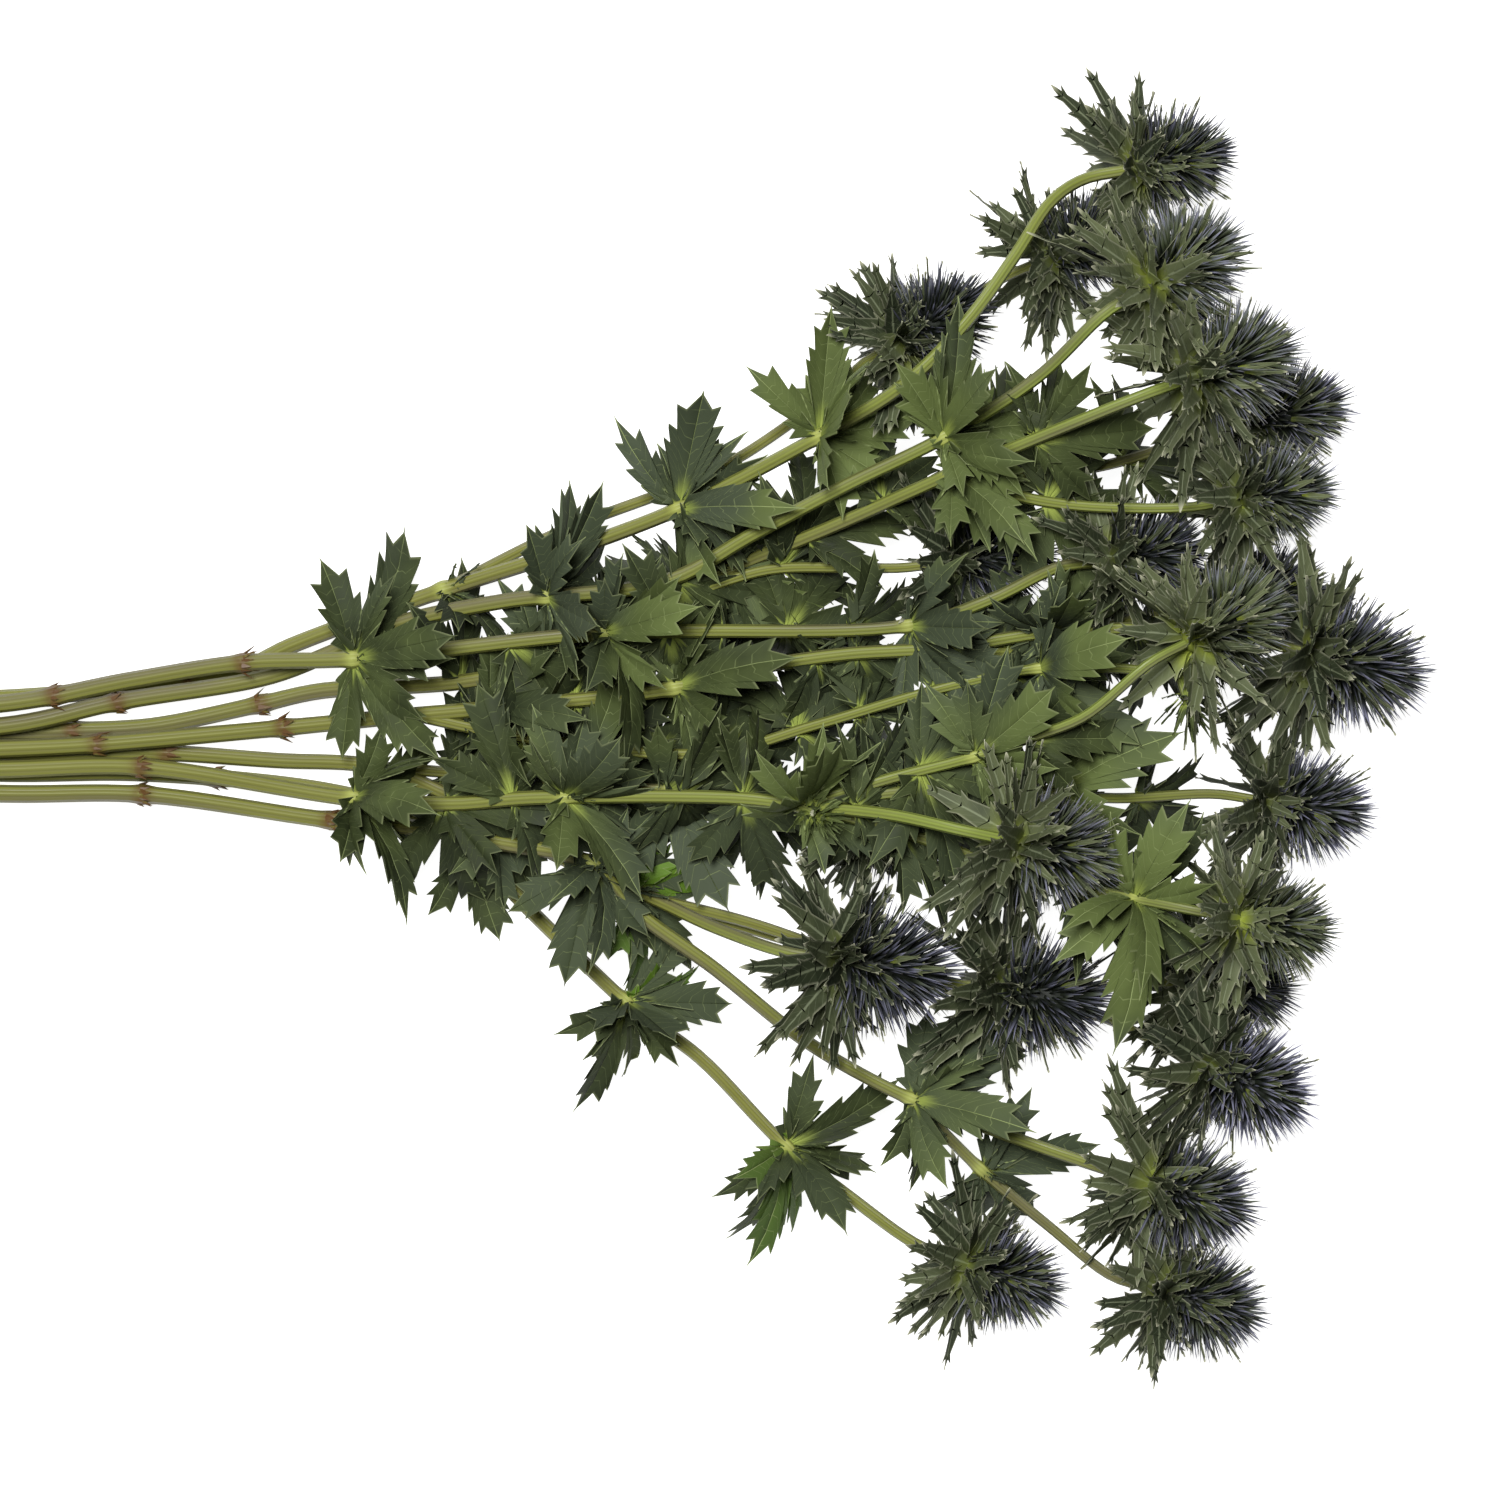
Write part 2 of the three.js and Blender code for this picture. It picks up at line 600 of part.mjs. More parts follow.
// A leaf of three toothed lobes that spread from the end of one short foot.
function leafSolid(matrix, share, footStart = 0) {
  const length = LEAF_LENGTH * share;
  const halfWidth = LEAF_HALF_WIDTH * share;
  const skin = new Skin();
  const at = (x, y, z) => skin.add(new THREE.Vector3(x, y, z).applyMatrix4(matrix));
  const foot = at(footStart, 0, 0);
  const top = at(LEAF_HUB, 0, LEAF_THICKNESS / 2);
  const under = at(LEAF_HUB, 0, -LEAF_THICKNESS / 2);
  const fork = [1, -1].map((side) => at(LEAF_HUB + 0.15 * length, side * 0.105 * length, 0));
  const heel = [1, -1].map((side) => at(LEAF_HUB - 1, side * 0.09 * length, 0));
  const lobes = [
    { angle: 0, reach: 1, width: 1, teeth: share > 1 ? 2 : 1, edges: [fork[0], fork[1]] },
    { angle: LEAF_LOBE_ANGLE, reach: 0.78, width: 0.75, teeth: 1, edges: [heel[0], fork[0]] },
    { angle: -LEAF_LOBE_ANGLE, reach: 0.78, width: 0.75, teeth: 1, edges: [fork[1], heel[1]] },
  ];
  for (const { angle, reach, width, teeth, edges } of lobes) {
    const frame = matrix.clone()
      .multiply(new THREE.Matrix4().makeTranslation(LEAF_HUB, 0, 0))
      .multiply(new THREE.Matrix4().makeRotationZ(degrees(angle)));
    const blade = { length: length * reach, halfWidth: halfWidth * width, teeth };
    growBlade(skin, { top, under, edges }, frame, { ...blade, thickness: LEAF_THICKNESS, curl: LEAF_CURL });
  }
  skin.face(foot, top, heel[0]);
  skin.face(foot, heel[1], top);
  skin.face(foot, heel[0], under);
  skin.face(foot, under, heel[1]);
  return skin.solid();
}

// The leaves of one joint, to both sides and on top, turned and folded until each is clear. Only
// the foot of a leaf may run into its own stem.
function whorlSolids(curve, x, random, obstacles, ownSolids) {
  const share = shareAtX(curve, x);
  const root = curve.getPointAt(share);
  const { axis, side, up } = axesOf(curve.getTangentAt(share));
  const size = 0.9 + 0.25 * random();
  const leaves = [];
  for (const base of LEAF_ROLLS) {
    const roll = base + 24 * (random() - 0.5);
    const spread = 52 + 16 * (random() - 0.5);
    for (const [turn, fold, part] of TRIES) {
      const outTo = degrees(roll + LEAF_TURN_GAIN * turn);
      const { matrix } = outwardFrame(root, axis, side, up, outTo, degrees(spread + fold));
      const frame = facedUp(matrix, LEAF_FACING_UP);
      const leaf = leafSolid(frame, size * part);
      const free = leafSolid(frame, size * part, LEAF_HUB - LEAF_FREE_FOOT);
      if (isClear(leaf, obstacles) && isClear(free, [...ownSolids, ...leaves].map(obstacle))) {
        leaves.push(leaf);
        break;
      }
    }
  }
  return leaves;
}

// A young head on a short stalk, fused to the stem that it grows from.
function budSolids(root, { yaw, pitch }) {
  const bud = { base: root.toArray(), yaw, pitch };
  const rows = 3;
  const columns = 6;
  const size = 0.4;
  const spineLengths = new Array(rows * columns).fill(7);
  const young = coneSkin({ size, rows, columns, spineLengths, matrix: headMatrix(bud, 7) });
  const { axis } = headAxes(bud);
  const stalk = new THREE.CatmullRomCurve3([root.clone(), root.clone().addScaledVector(axis, 9)]);
  return [
    stemSolid(stalk, { radius: 1.5, endRadius: 1.5, sides: 5, step: 20, swellings: [] }),
    young.solid(),
  ];
}

// The elastic band: a flat loop drawn round the four stems at the corners of the bundle.
function bandGeometry() {
  const corners = [lowerRow(-2), lowerRow(2), upperRow(1.5), upperRow(-1.5)];
  const normals = corners.map(([y, z], i) => {
    const [nextY, nextZ] = corners[(i + 1) % corners.length];
    return Math.atan2(-(nextY - y), nextZ - z);
  });
  const loop = (radius, kind) => {
    const path = new kind();
    corners.forEach(([y, z], i) => {
      const from = normals[(i + corners.length - 1) % corners.length];
      const turn = (((normals[i] - from) % (2 * Math.PI)) + 2 * Math.PI) % (2 * Math.PI);
      path.absarc(y, z, radius, from, from + turn, false);
    });
    return path;
  };
  const outline = loop(TRUNK_RADIUS + GAP + BAND_THICKNESS, THREE.Shape);
  outline.holes.push(loop(TRUNK_RADIUS + GAP, THREE.Path));
  const settings = { depth: BAND_WIDTH, bevelEnabled: false, curveSegments: 2 };
  const geometry = new THREE.ExtrudeGeometry(outline, settings);
  const yzToWorld = new THREE.Matrix4().makeBasis(
    new THREE.Vector3(0, 1, 0),
    new THREE.Vector3(0, 0, 1),
    new THREE.Vector3(1, 0, 0),
  );
  return geometry.applyMatrix4(yzToWorld).translate(BAND_X - BAND_WIDTH / 2, 0, 0);
}

function shootsOf(plant, index) {
  const [y, z] = plant.start;
  const cut = CUT_END_X + CUT_END_STAGGER * (((index * 5) % 9) / 9);
  const trunkWay = [[cut, y, z], [BAND_X - 15, y, z], [BAND_X + 15, y, z], ...plant.way];
  const trunk = { ...plant, way: trunkWay, isTrunk: true };
  return [trunk, ...plant.branches].map((shoot) => ({
    ...shoot,
    scars: shoot.scars ?? [],
    whorls: shoot.whorls ?? [],
    buds: shoot.buds ?? [],
    curve: shootCurve(shoot.way, shoot.head && HEADS[shoot.head]),
  }));
}

function shootSolid({ curve, scars, whorls, isTrunk }) {
  const swellings = [
    ...scars.map((x) => ({ share: shareAtX(curve, x), swell: SCAR_SWELL })),
    ...whorls.map((x) => ({ share: shareAtX(curve, x), swell: JOINT_SWELL })),
  ];
  return stemSolid(curve, {
    radius: isTrunk ? TRUNK_RADIUS : BRANCH_RADIUS,
    endRadius: isTrunk ? TRUNK_END_RADIUS : BRANCH_END_RADIUS,
    sides: isTrunk ? 6 : 5,
    step: isTrunk ? 60 : 30,
    swellings,
  });
}

const floorGeometry = new THREE.BoxGeometry(1000, 1000, 10).translate(200, 0, -5 - GAP + 0.05);
const floor = obstacle(solidOf(floorGeometry));
const band = solidOf(bandGeometry());

const plants = PLANTS.map((plant, index) => {
  const shoots = shootsOf(plant, index);
  return { shoots, bare: joined(shoots.map(shootSolid)) };
});
const bareStems = plants.map(({ bare }) => obstacle(bare));

const cones = {};
for (const [id, head] of Object.entries(HEADS).sort()) {
  const random = randomFrom(100 + Number(id));
  cones[id] = coneSolid(head, random, [floor, ...bareStems, ...Object.values(cones).map(obstacle)]);
}
const coneObstacles = Object.values(cones).map(obstacle);

const ruffs = {};
const ruffObstacles = [];
for (const [id, head] of Object.entries(HEADS).sort()) {
  const random = randomFrom(200 + Number(id));
  ruffs[id] = ruffSolid(head, random, [floor, ...bareStems, ...coneObstacles, ...ruffObstacles]);
  ruffObstacles.push(obstacle(ruffs[id]));
}

const leafyStems = [];
plants.forEach(({ shoots, bare }, index) => {
  const random = randomFrom(300 + index);
  const neighbours = plants.map((_, i) => leafyStems[i] ?? bareStems[i]).filter((_, i) => i !== index);
  const obstacles = [floor, obstacle(band), ...neighbours, ...coneObstacles, ...ruffObstacles];
  const pieces = [bare];
  for (const { curve, whorls, buds } of shoots) {
    for (const x of whorls) pieces.push(...whorlSolids(curve, x, random, obstacles, pieces));
    for (const bud of buds) {
      const root = bud.x === undefined ? curve.getPointAt(1) : curve.getPointAt(shareAtX(curve, bud.x));
      pieces.push(...budSolids(root, bud).filter((piece) => isClear(piece, obstacles)));
    }
  }
  leafyStems[index] = obstacle(joined(pieces));
});

const finishes = {
  stem: new THREE.MeshStandardMaterial({ color: STEM_GREEN, roughness: 0.55, metalness: 0 }),
  cone: new THREE.MeshStandardMaterial({ color: CONE_BLUE, roughness: 0.6, metalness: 0 }),
  bracts: new THREE.MeshStandardMaterial({ color: BRACT_GREEN, roughness: 0.55, metalness: 0 }),
  band: new THREE.MeshStandardMaterial({ color: BAND_TAN, roughness: 0.7, metalness: 0 }),
};

const bunch = new THREE.Group();
function addMesh(name, solid, finish) {
  const mesh = new THREE.Mesh(geometryOf(solid), finish);
  mesh.name = name;
  bunch.add(mesh);
}
addMesh("elastic_band", band, finishes.band);
leafyStems.forEach(({ solid }, index) => addMesh(`leafy_stem_${index + 1}`, solid, finishes.stem));
for (const id of Object.keys(HEADS).sort()) {
  addMesh(`flower_cone_${id}`, cones[id], finishes.cone);
  addMesh(`bract_ruff_${id}`, ruffs[id], finishes.bracts);
}

// The origin is under the middle of the bunch, on the table.
const bounds = new THREE.Box3().setFromObject(bunch);
const centre = bounds.getCenter(new THREE.Vector3());
bunch.position.set(-centre.x, -centre.y, -bounds.min.z);

export default bunch;
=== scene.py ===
"""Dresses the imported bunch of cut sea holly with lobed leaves, ribbed stems and bristling heads.

The layout repeats the part's own dimensions, in millimetres: x runs from the band to the heads, and
the table is z = 0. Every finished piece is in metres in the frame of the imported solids.
"""
from __future__ import annotations

import json
import logging
import math
from dataclasses import dataclass
from enum import Enum
from typing import Any, Iterable, Sequence

import bmesh
import bpy
import numpy as np
from mathutils import Matrix, Vector
from mathutils.bvhtree import BVHTree
from mathutils.kdtree import KDTree

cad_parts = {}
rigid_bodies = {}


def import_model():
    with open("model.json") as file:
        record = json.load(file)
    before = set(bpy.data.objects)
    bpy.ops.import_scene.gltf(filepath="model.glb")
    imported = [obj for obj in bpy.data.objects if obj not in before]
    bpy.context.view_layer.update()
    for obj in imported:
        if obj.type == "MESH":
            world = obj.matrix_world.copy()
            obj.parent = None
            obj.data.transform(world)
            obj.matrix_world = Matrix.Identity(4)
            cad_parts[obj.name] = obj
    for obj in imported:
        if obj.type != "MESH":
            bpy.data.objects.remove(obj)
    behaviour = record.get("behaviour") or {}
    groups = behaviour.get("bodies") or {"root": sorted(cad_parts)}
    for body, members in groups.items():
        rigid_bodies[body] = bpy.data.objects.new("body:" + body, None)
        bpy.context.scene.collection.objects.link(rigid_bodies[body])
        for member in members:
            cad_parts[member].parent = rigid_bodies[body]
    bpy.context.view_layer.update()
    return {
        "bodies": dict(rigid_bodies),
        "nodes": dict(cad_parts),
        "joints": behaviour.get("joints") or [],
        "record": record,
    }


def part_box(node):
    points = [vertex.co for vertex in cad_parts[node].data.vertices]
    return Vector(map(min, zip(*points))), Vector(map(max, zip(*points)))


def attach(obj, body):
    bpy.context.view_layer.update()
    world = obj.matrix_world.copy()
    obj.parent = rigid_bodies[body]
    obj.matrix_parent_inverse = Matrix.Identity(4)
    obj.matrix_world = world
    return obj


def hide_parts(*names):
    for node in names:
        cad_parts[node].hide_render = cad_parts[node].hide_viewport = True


log = logging.getLogger("sea_holly")

Point = tuple[float, float, float]
Colour = tuple[float, float, float]
Span = tuple[float, float]
Corner = bmesh.types.BMVert
Material = bpy.types.Material
Socket = bpy.types.NodeSocket
Piece = bpy.types.Object

MM = 0.001
GOLDEN_TURN = math.pi * (3 - math.sqrt(5))
UPRIGHT = Vector((0, 0, 1))
SHARP_EDGE = math.radians(45)
MERGE_DISTANCE = 1e-4

# The part's own dimensions, in millimetres.
CUT_END_X = -150
CUT_END_STAGGER = 10
BAND_X = -95
BAND_WIDTH = 7
BAND_REACH = 15
BUNDLE_Y = 2
ROW_PITCH = 7.2
LOWER_Z = 4.55
UPPER_Z = 10.45
GAP = 0.35
TRUNK_RADII = (3.4, 1.9)
BRANCH_RADII = (2.0, 1.6)
JOINT_SWELL = 1.35
SCAR_SWELL = 1.2
NECK_LENGTH = 14
LEAF_LENGTH = 34
LEAF_HUB = 8.5
LEAF_FACING_UP = 0.7
LEAF_LOBE_ANGLE = 62
LEAF_SIDE_REACH = 0.78
LEAF_CURL = 0.16
LEAF_TURN_GAIN = 1.6
LEAF_LEAST_SIZE = 0.9
LEAF_SIZE_SPAN = 0.25
LEAF_ROLLS = (8, 88, 172)
LEAF_ROLL_SPAN = 24
LEAF_SPREAD = 52
LEAF_SPREAD_SPAN = 16
BRACT_LENGTH = 31
BRACT_HALF_WIDTH = 4.1
BRACT_CURL = -0.06
BRACTS_IN_RING = 5
BRACT_ROLL_SPAN = 14
BRACT_SPREAD_SPAN = 16
COLLAR_LENGTH = 6
COLLAR_RADIUS = 6
CONE_SEAT_GAP = 0.7
CONE_LENGTH = 27
CONE_RADIUS = 9.5
CONE_START = 0.2
CONE_FULLNESS = 0.75
SPINE_LENGTH = 15
BUD_STALK = 9
BUD_RADII = (1.5, 1.4)
BUD_BRACTS = 26

# How the part bends a blade clear of its neighbours: turn, fold, share of its length.
TRIES = (
    (0, 0, 1), (0, -14, 1), (12, 0, 1), (-12, 0, 1), (0, 14, 1), (14, -14, 1), (-14, -14, 1), (0, -30, 1),
    (20, -30, 0.9), (-20, -30, 0.9), (24, 0, 0.8), (-24, 0, 0.8), (0, -45, 0.8), (0, 0, 0.6),
    (0, -30, 0.55), (22, -20, 0.5), (-22, -20, 0.5),
)


@dataclass(frozen=True)
class Head:
    """Where a head's shoot ends, the way it faces in degrees, its size, and how green and blue it is."""

    base: Point
    yaw: float
    pitch: float
    size: float
    green: float = 0.35
    lilac: float = 0.4


HEADS = {
    "01": Head((375, 192.7, 48), 12, 0, 0.95, 0.3, 0.35),
    "02": Head((346.7, 163, 34), 24, 5, 0.95, 0.2, 0.3),
    "03": Head((378.3, 150.7, 80), 32, -15, 1.05, 0.85, 0.7),
    "04": Head((298.3, 135, 34), 31, 8, 0.95, 0.1, 0.35),
    "05": Head((393.3, 121.7, 74), 20, -15, 1.1, 0.7, 0.55),
    "06": Head((413.3, 108.3, 30), 14, 0, 1.0, 0.3, 0.6),
    "07": Head((408.3, 82.3, 56), 8, -5, 0.95, 0.6, 0.5),
    "08": Head((315, 62.7, 28), 7, 0, 1.0, 0.05, 0.3),
    "09": Head((366.7, 62.7, 45), 8, -8, 0.95, 0.15, 0.35),
    "10": Head((393.3, 35, 80), 28, -20, 1.05, 0.8, 0.35),
    "11": Head((433.3, 32.7, 46), -14, 0, 1.15, 0.25, 0.6),
    "12": Head((419.3, -16.7, 36), -8, 0, 1.0, 0.2, 0.7),
    "13": Head((407.3, -55, 72), -11, -8, 0.95, 0.75, 0.3),
    "14": Head((333.3, -29.3, 76), -12, -12, 1.05, 0.55, 0.55),
    "15": Head((276, -69.3, 56), -9, 0, 1.15, 0.05, 0.5),
    "16": Head((330, -79.3, 40), -8, 12, 1.1, 0.1, 0.5),
    "17": Head((396.7, -78.3, 29), -3, 0, 0.95, 0.1, 0.3),
    "18": Head((400, -104, 45), -24, 10, 1.05, 0.1, 0.95),
    "19": Head((380, -143.3, 44), -18, 0, 1.05, 0.3, 0.6),
    "20": Head((320, -170.7, 31), -20, 0, 0.95, 0.3, 0.5),
    "21": Head((385, -180, 31), -16, 0, 1.0, 0.25, 0.5),
    "22": Head((286.7, -23.3, 30), -11, 0, 0.9, 0.1, 0.3),
    "23": Head((408.3, 50, 30), 8, 0, 0.9, 0.3, 0.5),
}


@dataclass(frozen=True)
class Bud:
    """A young head on a short stalk: the way it faces, and the x of its foot where it isn't the end."""

    yaw: float
    pitch: float
    x: float | None = None


@dataclass(frozen=True)
class Shoot:
    """The points that a shoot passes, its head, and its bare and leafy joints by their x."""

    way: tuple[Point, ...]
    head: str | None = None
    scars: tuple[float, ...] = ()
    whorls: tuple[float, ...] = ()
    buds: tuple[Bud, ...] = ()


@dataclass(frozen=True)
class Plant:
    """A plant's place in the band, counted in steps from its middle, its trunk and its branches."""

    place: float
    is_lower: bool
    trunk: Shoot
    branches: tuple[Shoot, ...] = ()


PLANTS = (
    Plant(1.5, False, Shoot(
        ((0, 15.8, 12), (42, 23.5, 17), (80, 29.3, 21.5), (117, 30.5, 26), (201, 39, 35), (303, 41.5, 42),
         (330, 50, 50)), "09", (16, 80), (117, 201, 303)), (
        Shoot(((201, 39, 35), (225, 50, 34), (255, 60, 32), (280, 61, 30)), "08"),
    )),
    Plant(0.5, False, Shoot(
        ((0, 8.3, 11.2), (37, 16.2, 11), (88, 24.7, 12.5), (110, 33, 15), (132, 42.5, 20), (167, 49.7, 28),
         (222, 56.3, 40), (251, 71.7, 46), (283, 88.3, 54), (314, 103.3, 61), (345, 123, 70)),
        "03", (37,), (182, 314))),
    Plant(2, True, Shoot(
        ((0, 17.5, 4.2), (42, 21.5, 4.8), (79, 27.5, 6), (95, 35, 8), (147, 53.7, 16), (179, 63.7, 22),
         (206, 72.7, 27), (230, 82.3, 33), (273, 104.3, 46), (301, 121, 58), (322, 142, 61), (338, 164, 60),
         (350, 182, 54)), "01", (60,), (147, 226, 273)), (
        Shoot(((147, 53.7, 16), (185, 73, 12), (240, 95, 10), (279, 121, 9), (312, 143, 16)), "02"),
        Shoot(((273, 104.3, 46), (279, 113, 42)), "04"),
    )),
    Plant(1, True, Shoot(
        ((0, 6.2, 3.8), (21, 6.5, 3.9), (48, 8, 4.4), (85, 15.5, 6), (104, 19.7, 8), (165, 25, 20),
         (190, 38, 24), (222, 52, 24), (246, 62, 26), (278, 74.7, 38), (317, 91.7, 54), (350, 105, 70)),
        "05", (21, 85), (178, 240, 317)), (
        Shoot(((317, 91.7, 54), (338, 84.5, 52), (360, 81, 51)), "07"),
        Shoot(((317, 91.7, 54), (335, 91, 44), (357, 93, 36), (376, 97, 31)), "06"),
    )),
    Plant(-0.5, False, Shoot(
        ((0, 0.5, 10.8), (30, 2, 11), (88, 7, 14), (137, 11.7, 20), (167, 14.3, 24), (225, 20.7, 32),
         (250, 27, 36), (280, 31.7, 40), (315, 34, 44), (354, 39.7, 46), (385, 40, 46)),
        "11", (30, 93), (163, 225, 315, 350)), (
        Shoot(((315, 34, 44), (340, 33, 38), (368, 41, 30)), "23"),
        Shoot(((137, 11.7, 20), (170, 5, 24), (235, -1.3, 32), (272, 8.3, 40), (312, 20, 48), (346, 27, 54),
               (372, 27, 57), (392, 25, 62)), None, (), (346,), (Bud(10, 20), Bud(-75, 25))),
    )),
    Plant(-1.5, False, Shoot(
        ((0, -6.5, 10.6), (45, -5.7, 12.5), (117, -16.3, 24), (150, -18, 31), (177, -16, 37),
         (246, -16, 52), (267, -18.3, 56), (297, -21.5, 70)),
        "14", (45,), (117, 188, 267), (Bud(-25, 45, 265),)), (
        Shoot(((267, -18.3, 56), (297, -9.3, 60), (324, -2.3, 66), (343, 4.3, 71), (360, 11, 78)),
              "10", (), (324,)),
        Shoot(((267, -18.3, 56), (300, -14, 56), (335, -12, 48), (369, -16, 42)), "12", (), (352,)),
        Shoot(((267, -18.3, 56), (300, -27, 54), (340, -41, 52), (368, -47.3, 61)), "13", (), (377,)),
    )),
    Plant(-2, True, Shoot(
        ((0, -14.8, 4.1), (45, -15, 5), (109, -23.7, 10), (137, -26, 15), (165, -31, 21), (197, -38.3, 28),
         (212, -54, 31), (238, -73, 30), (270, -98.3, 30), (304, -116.7, 36), (329, -126, 40)),
        "19", (45, 109), (197, 304)), (
        Shoot(((304, -116.7, 36), (327, -140, 33), (350, -159.3, 31)), "21", (), (327,)),
    )),
    Plant(0, True, Shoot(
        ((0, -0.8, 3.9), (45, -0.6, 4.2), (90, -3.5, 8), (124, -5.7, 12), (150, -16, 14), (180, -33, 15.5),
         (203, -44, 20), (218, -50, 26), (238, -59, 40)), "15", (53,), (124, 165, 210)), (
        Shoot(((218, -50, 26), (250, -58, 22), (280, -68, 22), (300, -73, 27)), "16"),
        Shoot(((218, -50, 26), (250, -60, 16), (290, -72, 14), (330, -84, 15), (366, -89, 26)), "18"),
        Shoot(((330, -84, 15), (350, -83, 20)), "17"),
        Shoot(((124, -5.7, 12), (180, -10, 19), (235, -15, 25)), "22", (), (222,)),
    )),
    Plant(-1, True, Shoot(
        ((0, -7.8, 3.8), (45, -7.8, 3.8), (109, -14, 4), (137, -22, 4.2), (160, -37, 6), (172, -50, 9),
         (190, -67.7, 12), (212, -88, 15), (233, -103.3, 17), (262, -133, 21), (284, -150, 28)),
        "20", (70,), (154, 208, 262))),
)


class Draws:
    """Numbers from 0 to 1 that are the same at every run, drawn as the part draws them."""

    MASK = 0xFFFFFFFF

    def __init__(self, seed: int) -> None:
        """Starts the numbers from a seed."""
        self.state = seed & self.MASK

    def one(self) -> float:
        """Draws the next number."""
        self.state = (self.state + 0x6D2B79F5) & self.MASK
        t = ((self.state ^ (self.state >> 15)) * (1 | self.state)) & self.MASK
        t = ((t + (t ^ (t >> 7)) * (61 | t)) & self.MASK) ^ t
        return (t ^ (t >> 14)) / (self.MASK + 1)

    def between(self, low: float, high: float) -> float:
        """Draws a number between two others."""
        return low + (high - low) * self.one()


def frame_of(along: Vector, across: Vector, normal: Vector, root: Vector) -> Matrix:
    """Makes the matrix of a frame from its three directions and its origin.

    Args:
        along: direction of the frame's X.
        across: direction of its Y.
        normal: direction of its Z.
        root: its origin.

    Returns:
        The 4 by 4 matrix.
    """
    matrix = Matrix((along, across, normal)).transposed().to_4x4()
    matrix.translation = root
    return matrix


def faced_up(frame: Matrix, share: float) -> Matrix:
    """Turns a frame about its own X until its Z has come a share of the way round to face upwards.

    Args:
        frame: the frame to turn.
        share: 0 for not at all, 1 for all the way.

    Returns:
        The turned frame.
    """
    along = frame.col[0].xyz
    upright = (UPRIGHT - along * along.z).normalized()
    normal = frame.col[2].xyz.lerp(upright, share).normalized()
    return frame_of(along, normal.cross(along), normal, frame.translation)


def above_table(place: Vector, clearance: float = 0.8, reach: float = 2.5) -> Vector:
    """Bends a place that is close to the table, or under it, softly up to a small clearance.

    Args:
        place: a place in millimetres.
        clearance: the least height that it may have.
        reach: how far over the clearance the bend begins.

    Returns:
        The place, with its height changed where it was low.
    """
    start = clearance + reach
    if place.z < start:
        place.z = clearance + reach * math.exp((place.z - start) / reach)
    return place


@dataclass(frozen=True)
class Axes:
    """An axis with a level side direction and the direction that completes it upwards."""

    axis: Vector
    side: Vector
    up: Vector

    @classmethod
    def along(cls, direction: Vector) -> Axes:
        """Makes the axes of a direction."""
        axis = direction.normalized()
        side = UPRIGHT.cross(axis).normalized()
        return cls(axis, side, axis.cross(side))

    @classmethod
    def facing(cls, yaw: float, pitch: float) -> Axes:
        """Makes the axes of a direction that is given by two angles in degrees."""
        level = math.cos(math.radians(pitch))
        turn = math.radians(yaw)
        return cls.along(
            Vector((level * math.cos(turn), level * math.sin(turn), math.sin(math.radians(pitch))))
        )

    def radial(self, roll: float) -> Vector:
        """Gives the direction out from the axis at a roll in radians."""
        return self.side * math.cos(roll) + self.up * math.sin(roll)

    def outward(self, root: Vector, roll: float, spread: float) -> Matrix:
        """Makes a frame whose X runs out from the axis.

        Args:
            root: the frame's origin.
            roll: angle about the axis, in degrees.
            spread: angle between the axis and the frame's X, in degrees.

        Returns:
            The frame.
        """
        radial = self.radial(math.radians(roll))
        lean = math.radians(spread)
        run = self.axis * math.cos(lean) + radial * math.sin(lean)
        across = self.axis.cross(radial).normalized()
        return frame_of(run, across, run.cross(across), root)


class Way:
    """A centripetal curve through points, measured along its length as the part measures it."""

    DIVISIONS = 200
    STEP = 0.0001

    def __init__(self, points: Iterable[Sequence[float]]) -> None:
        """Measures the curve through the given points."""
        self.points = np.array([tuple(p) for p in points], float)
        self.steps = np.linspace(0, 1, self.DIVISIONS + 1)
        places = np.array([self.at(t) for t in self.steps])
        runs = np.linalg.norm(np.diff(places, axis=0), axis=1)
        self.lengths = np.concatenate(([0], np.cumsum(runs)))

    @property
    def length(self) -> float:
        """The curve's length in millimetres."""
        return float(self.lengths[-1])

    def at(self, t: float) -> np.ndarray:
        """Finds the place at a value of the curve's own parameter.

        Args:
            t: the parameter, from 0 to 1.

        Returns:
            The place.
        """
        last = len(self.points) - 1
        i = min(int(last * t), last - 1)
        weight = last * t - i
        b, c = self.points[i], self.points[i + 1]
        a = self.points[i - 1] if i > 0 else 2 * b - c
        d = self.points[i + 2] if i + 2 <= last else 2 * c - b
        first, middle, final = (float(((q - p) ** 2).sum()) ** 0.25 for p, q in ((a, b), (b, c), (c, d)))
        start = ((b - a) / first - (c - a) / (first + middle) + (c - b) / middle) * middle
        end = ((c - b) / middle - (d - b) / (middle + final) + (d - c) / final) * middle
        square = -3 * b + 3 * c - 2 * start - end
        cube = 2 * b - 2 * c + start + end
        return b + weight * (start + weight * (square + weight * cube))

    def parameter(self, share: float) -> float:
        """Finds the parameter at a share of the length."""
        return float(np.interp(share * self.length, self.lengths, self.steps))

    def place(self, share: float) -> Vector:
        """Finds the place at a share of the length."""
        return Vector(self.at(self.parameter(share)))

    def axes(self, share: float) -> Axes:
        """Makes the axes of the curve's direction at a share of its length."""
        t = self.parameter(share)
        before, after = max(t - self.STEP, 0), min(t + self.STEP, 1)
        return Axes.along(Vector(self.at(after) - self.at(before)))

    def share_at_x(self, x: float) -> float:
        """Finds how far along its length the curve reaches an x.

        Args:
            x: the x in millimetres.

        Returns:
            A share of the length.
        """
        low, high = 0.0, 1.0
        for _ in range(40):
            middle = (low + high) / 2
            if self.at(self.parameter(middle))[0] < x:
                low = middle
            else:
                high = middle
        return (low + high) / 2


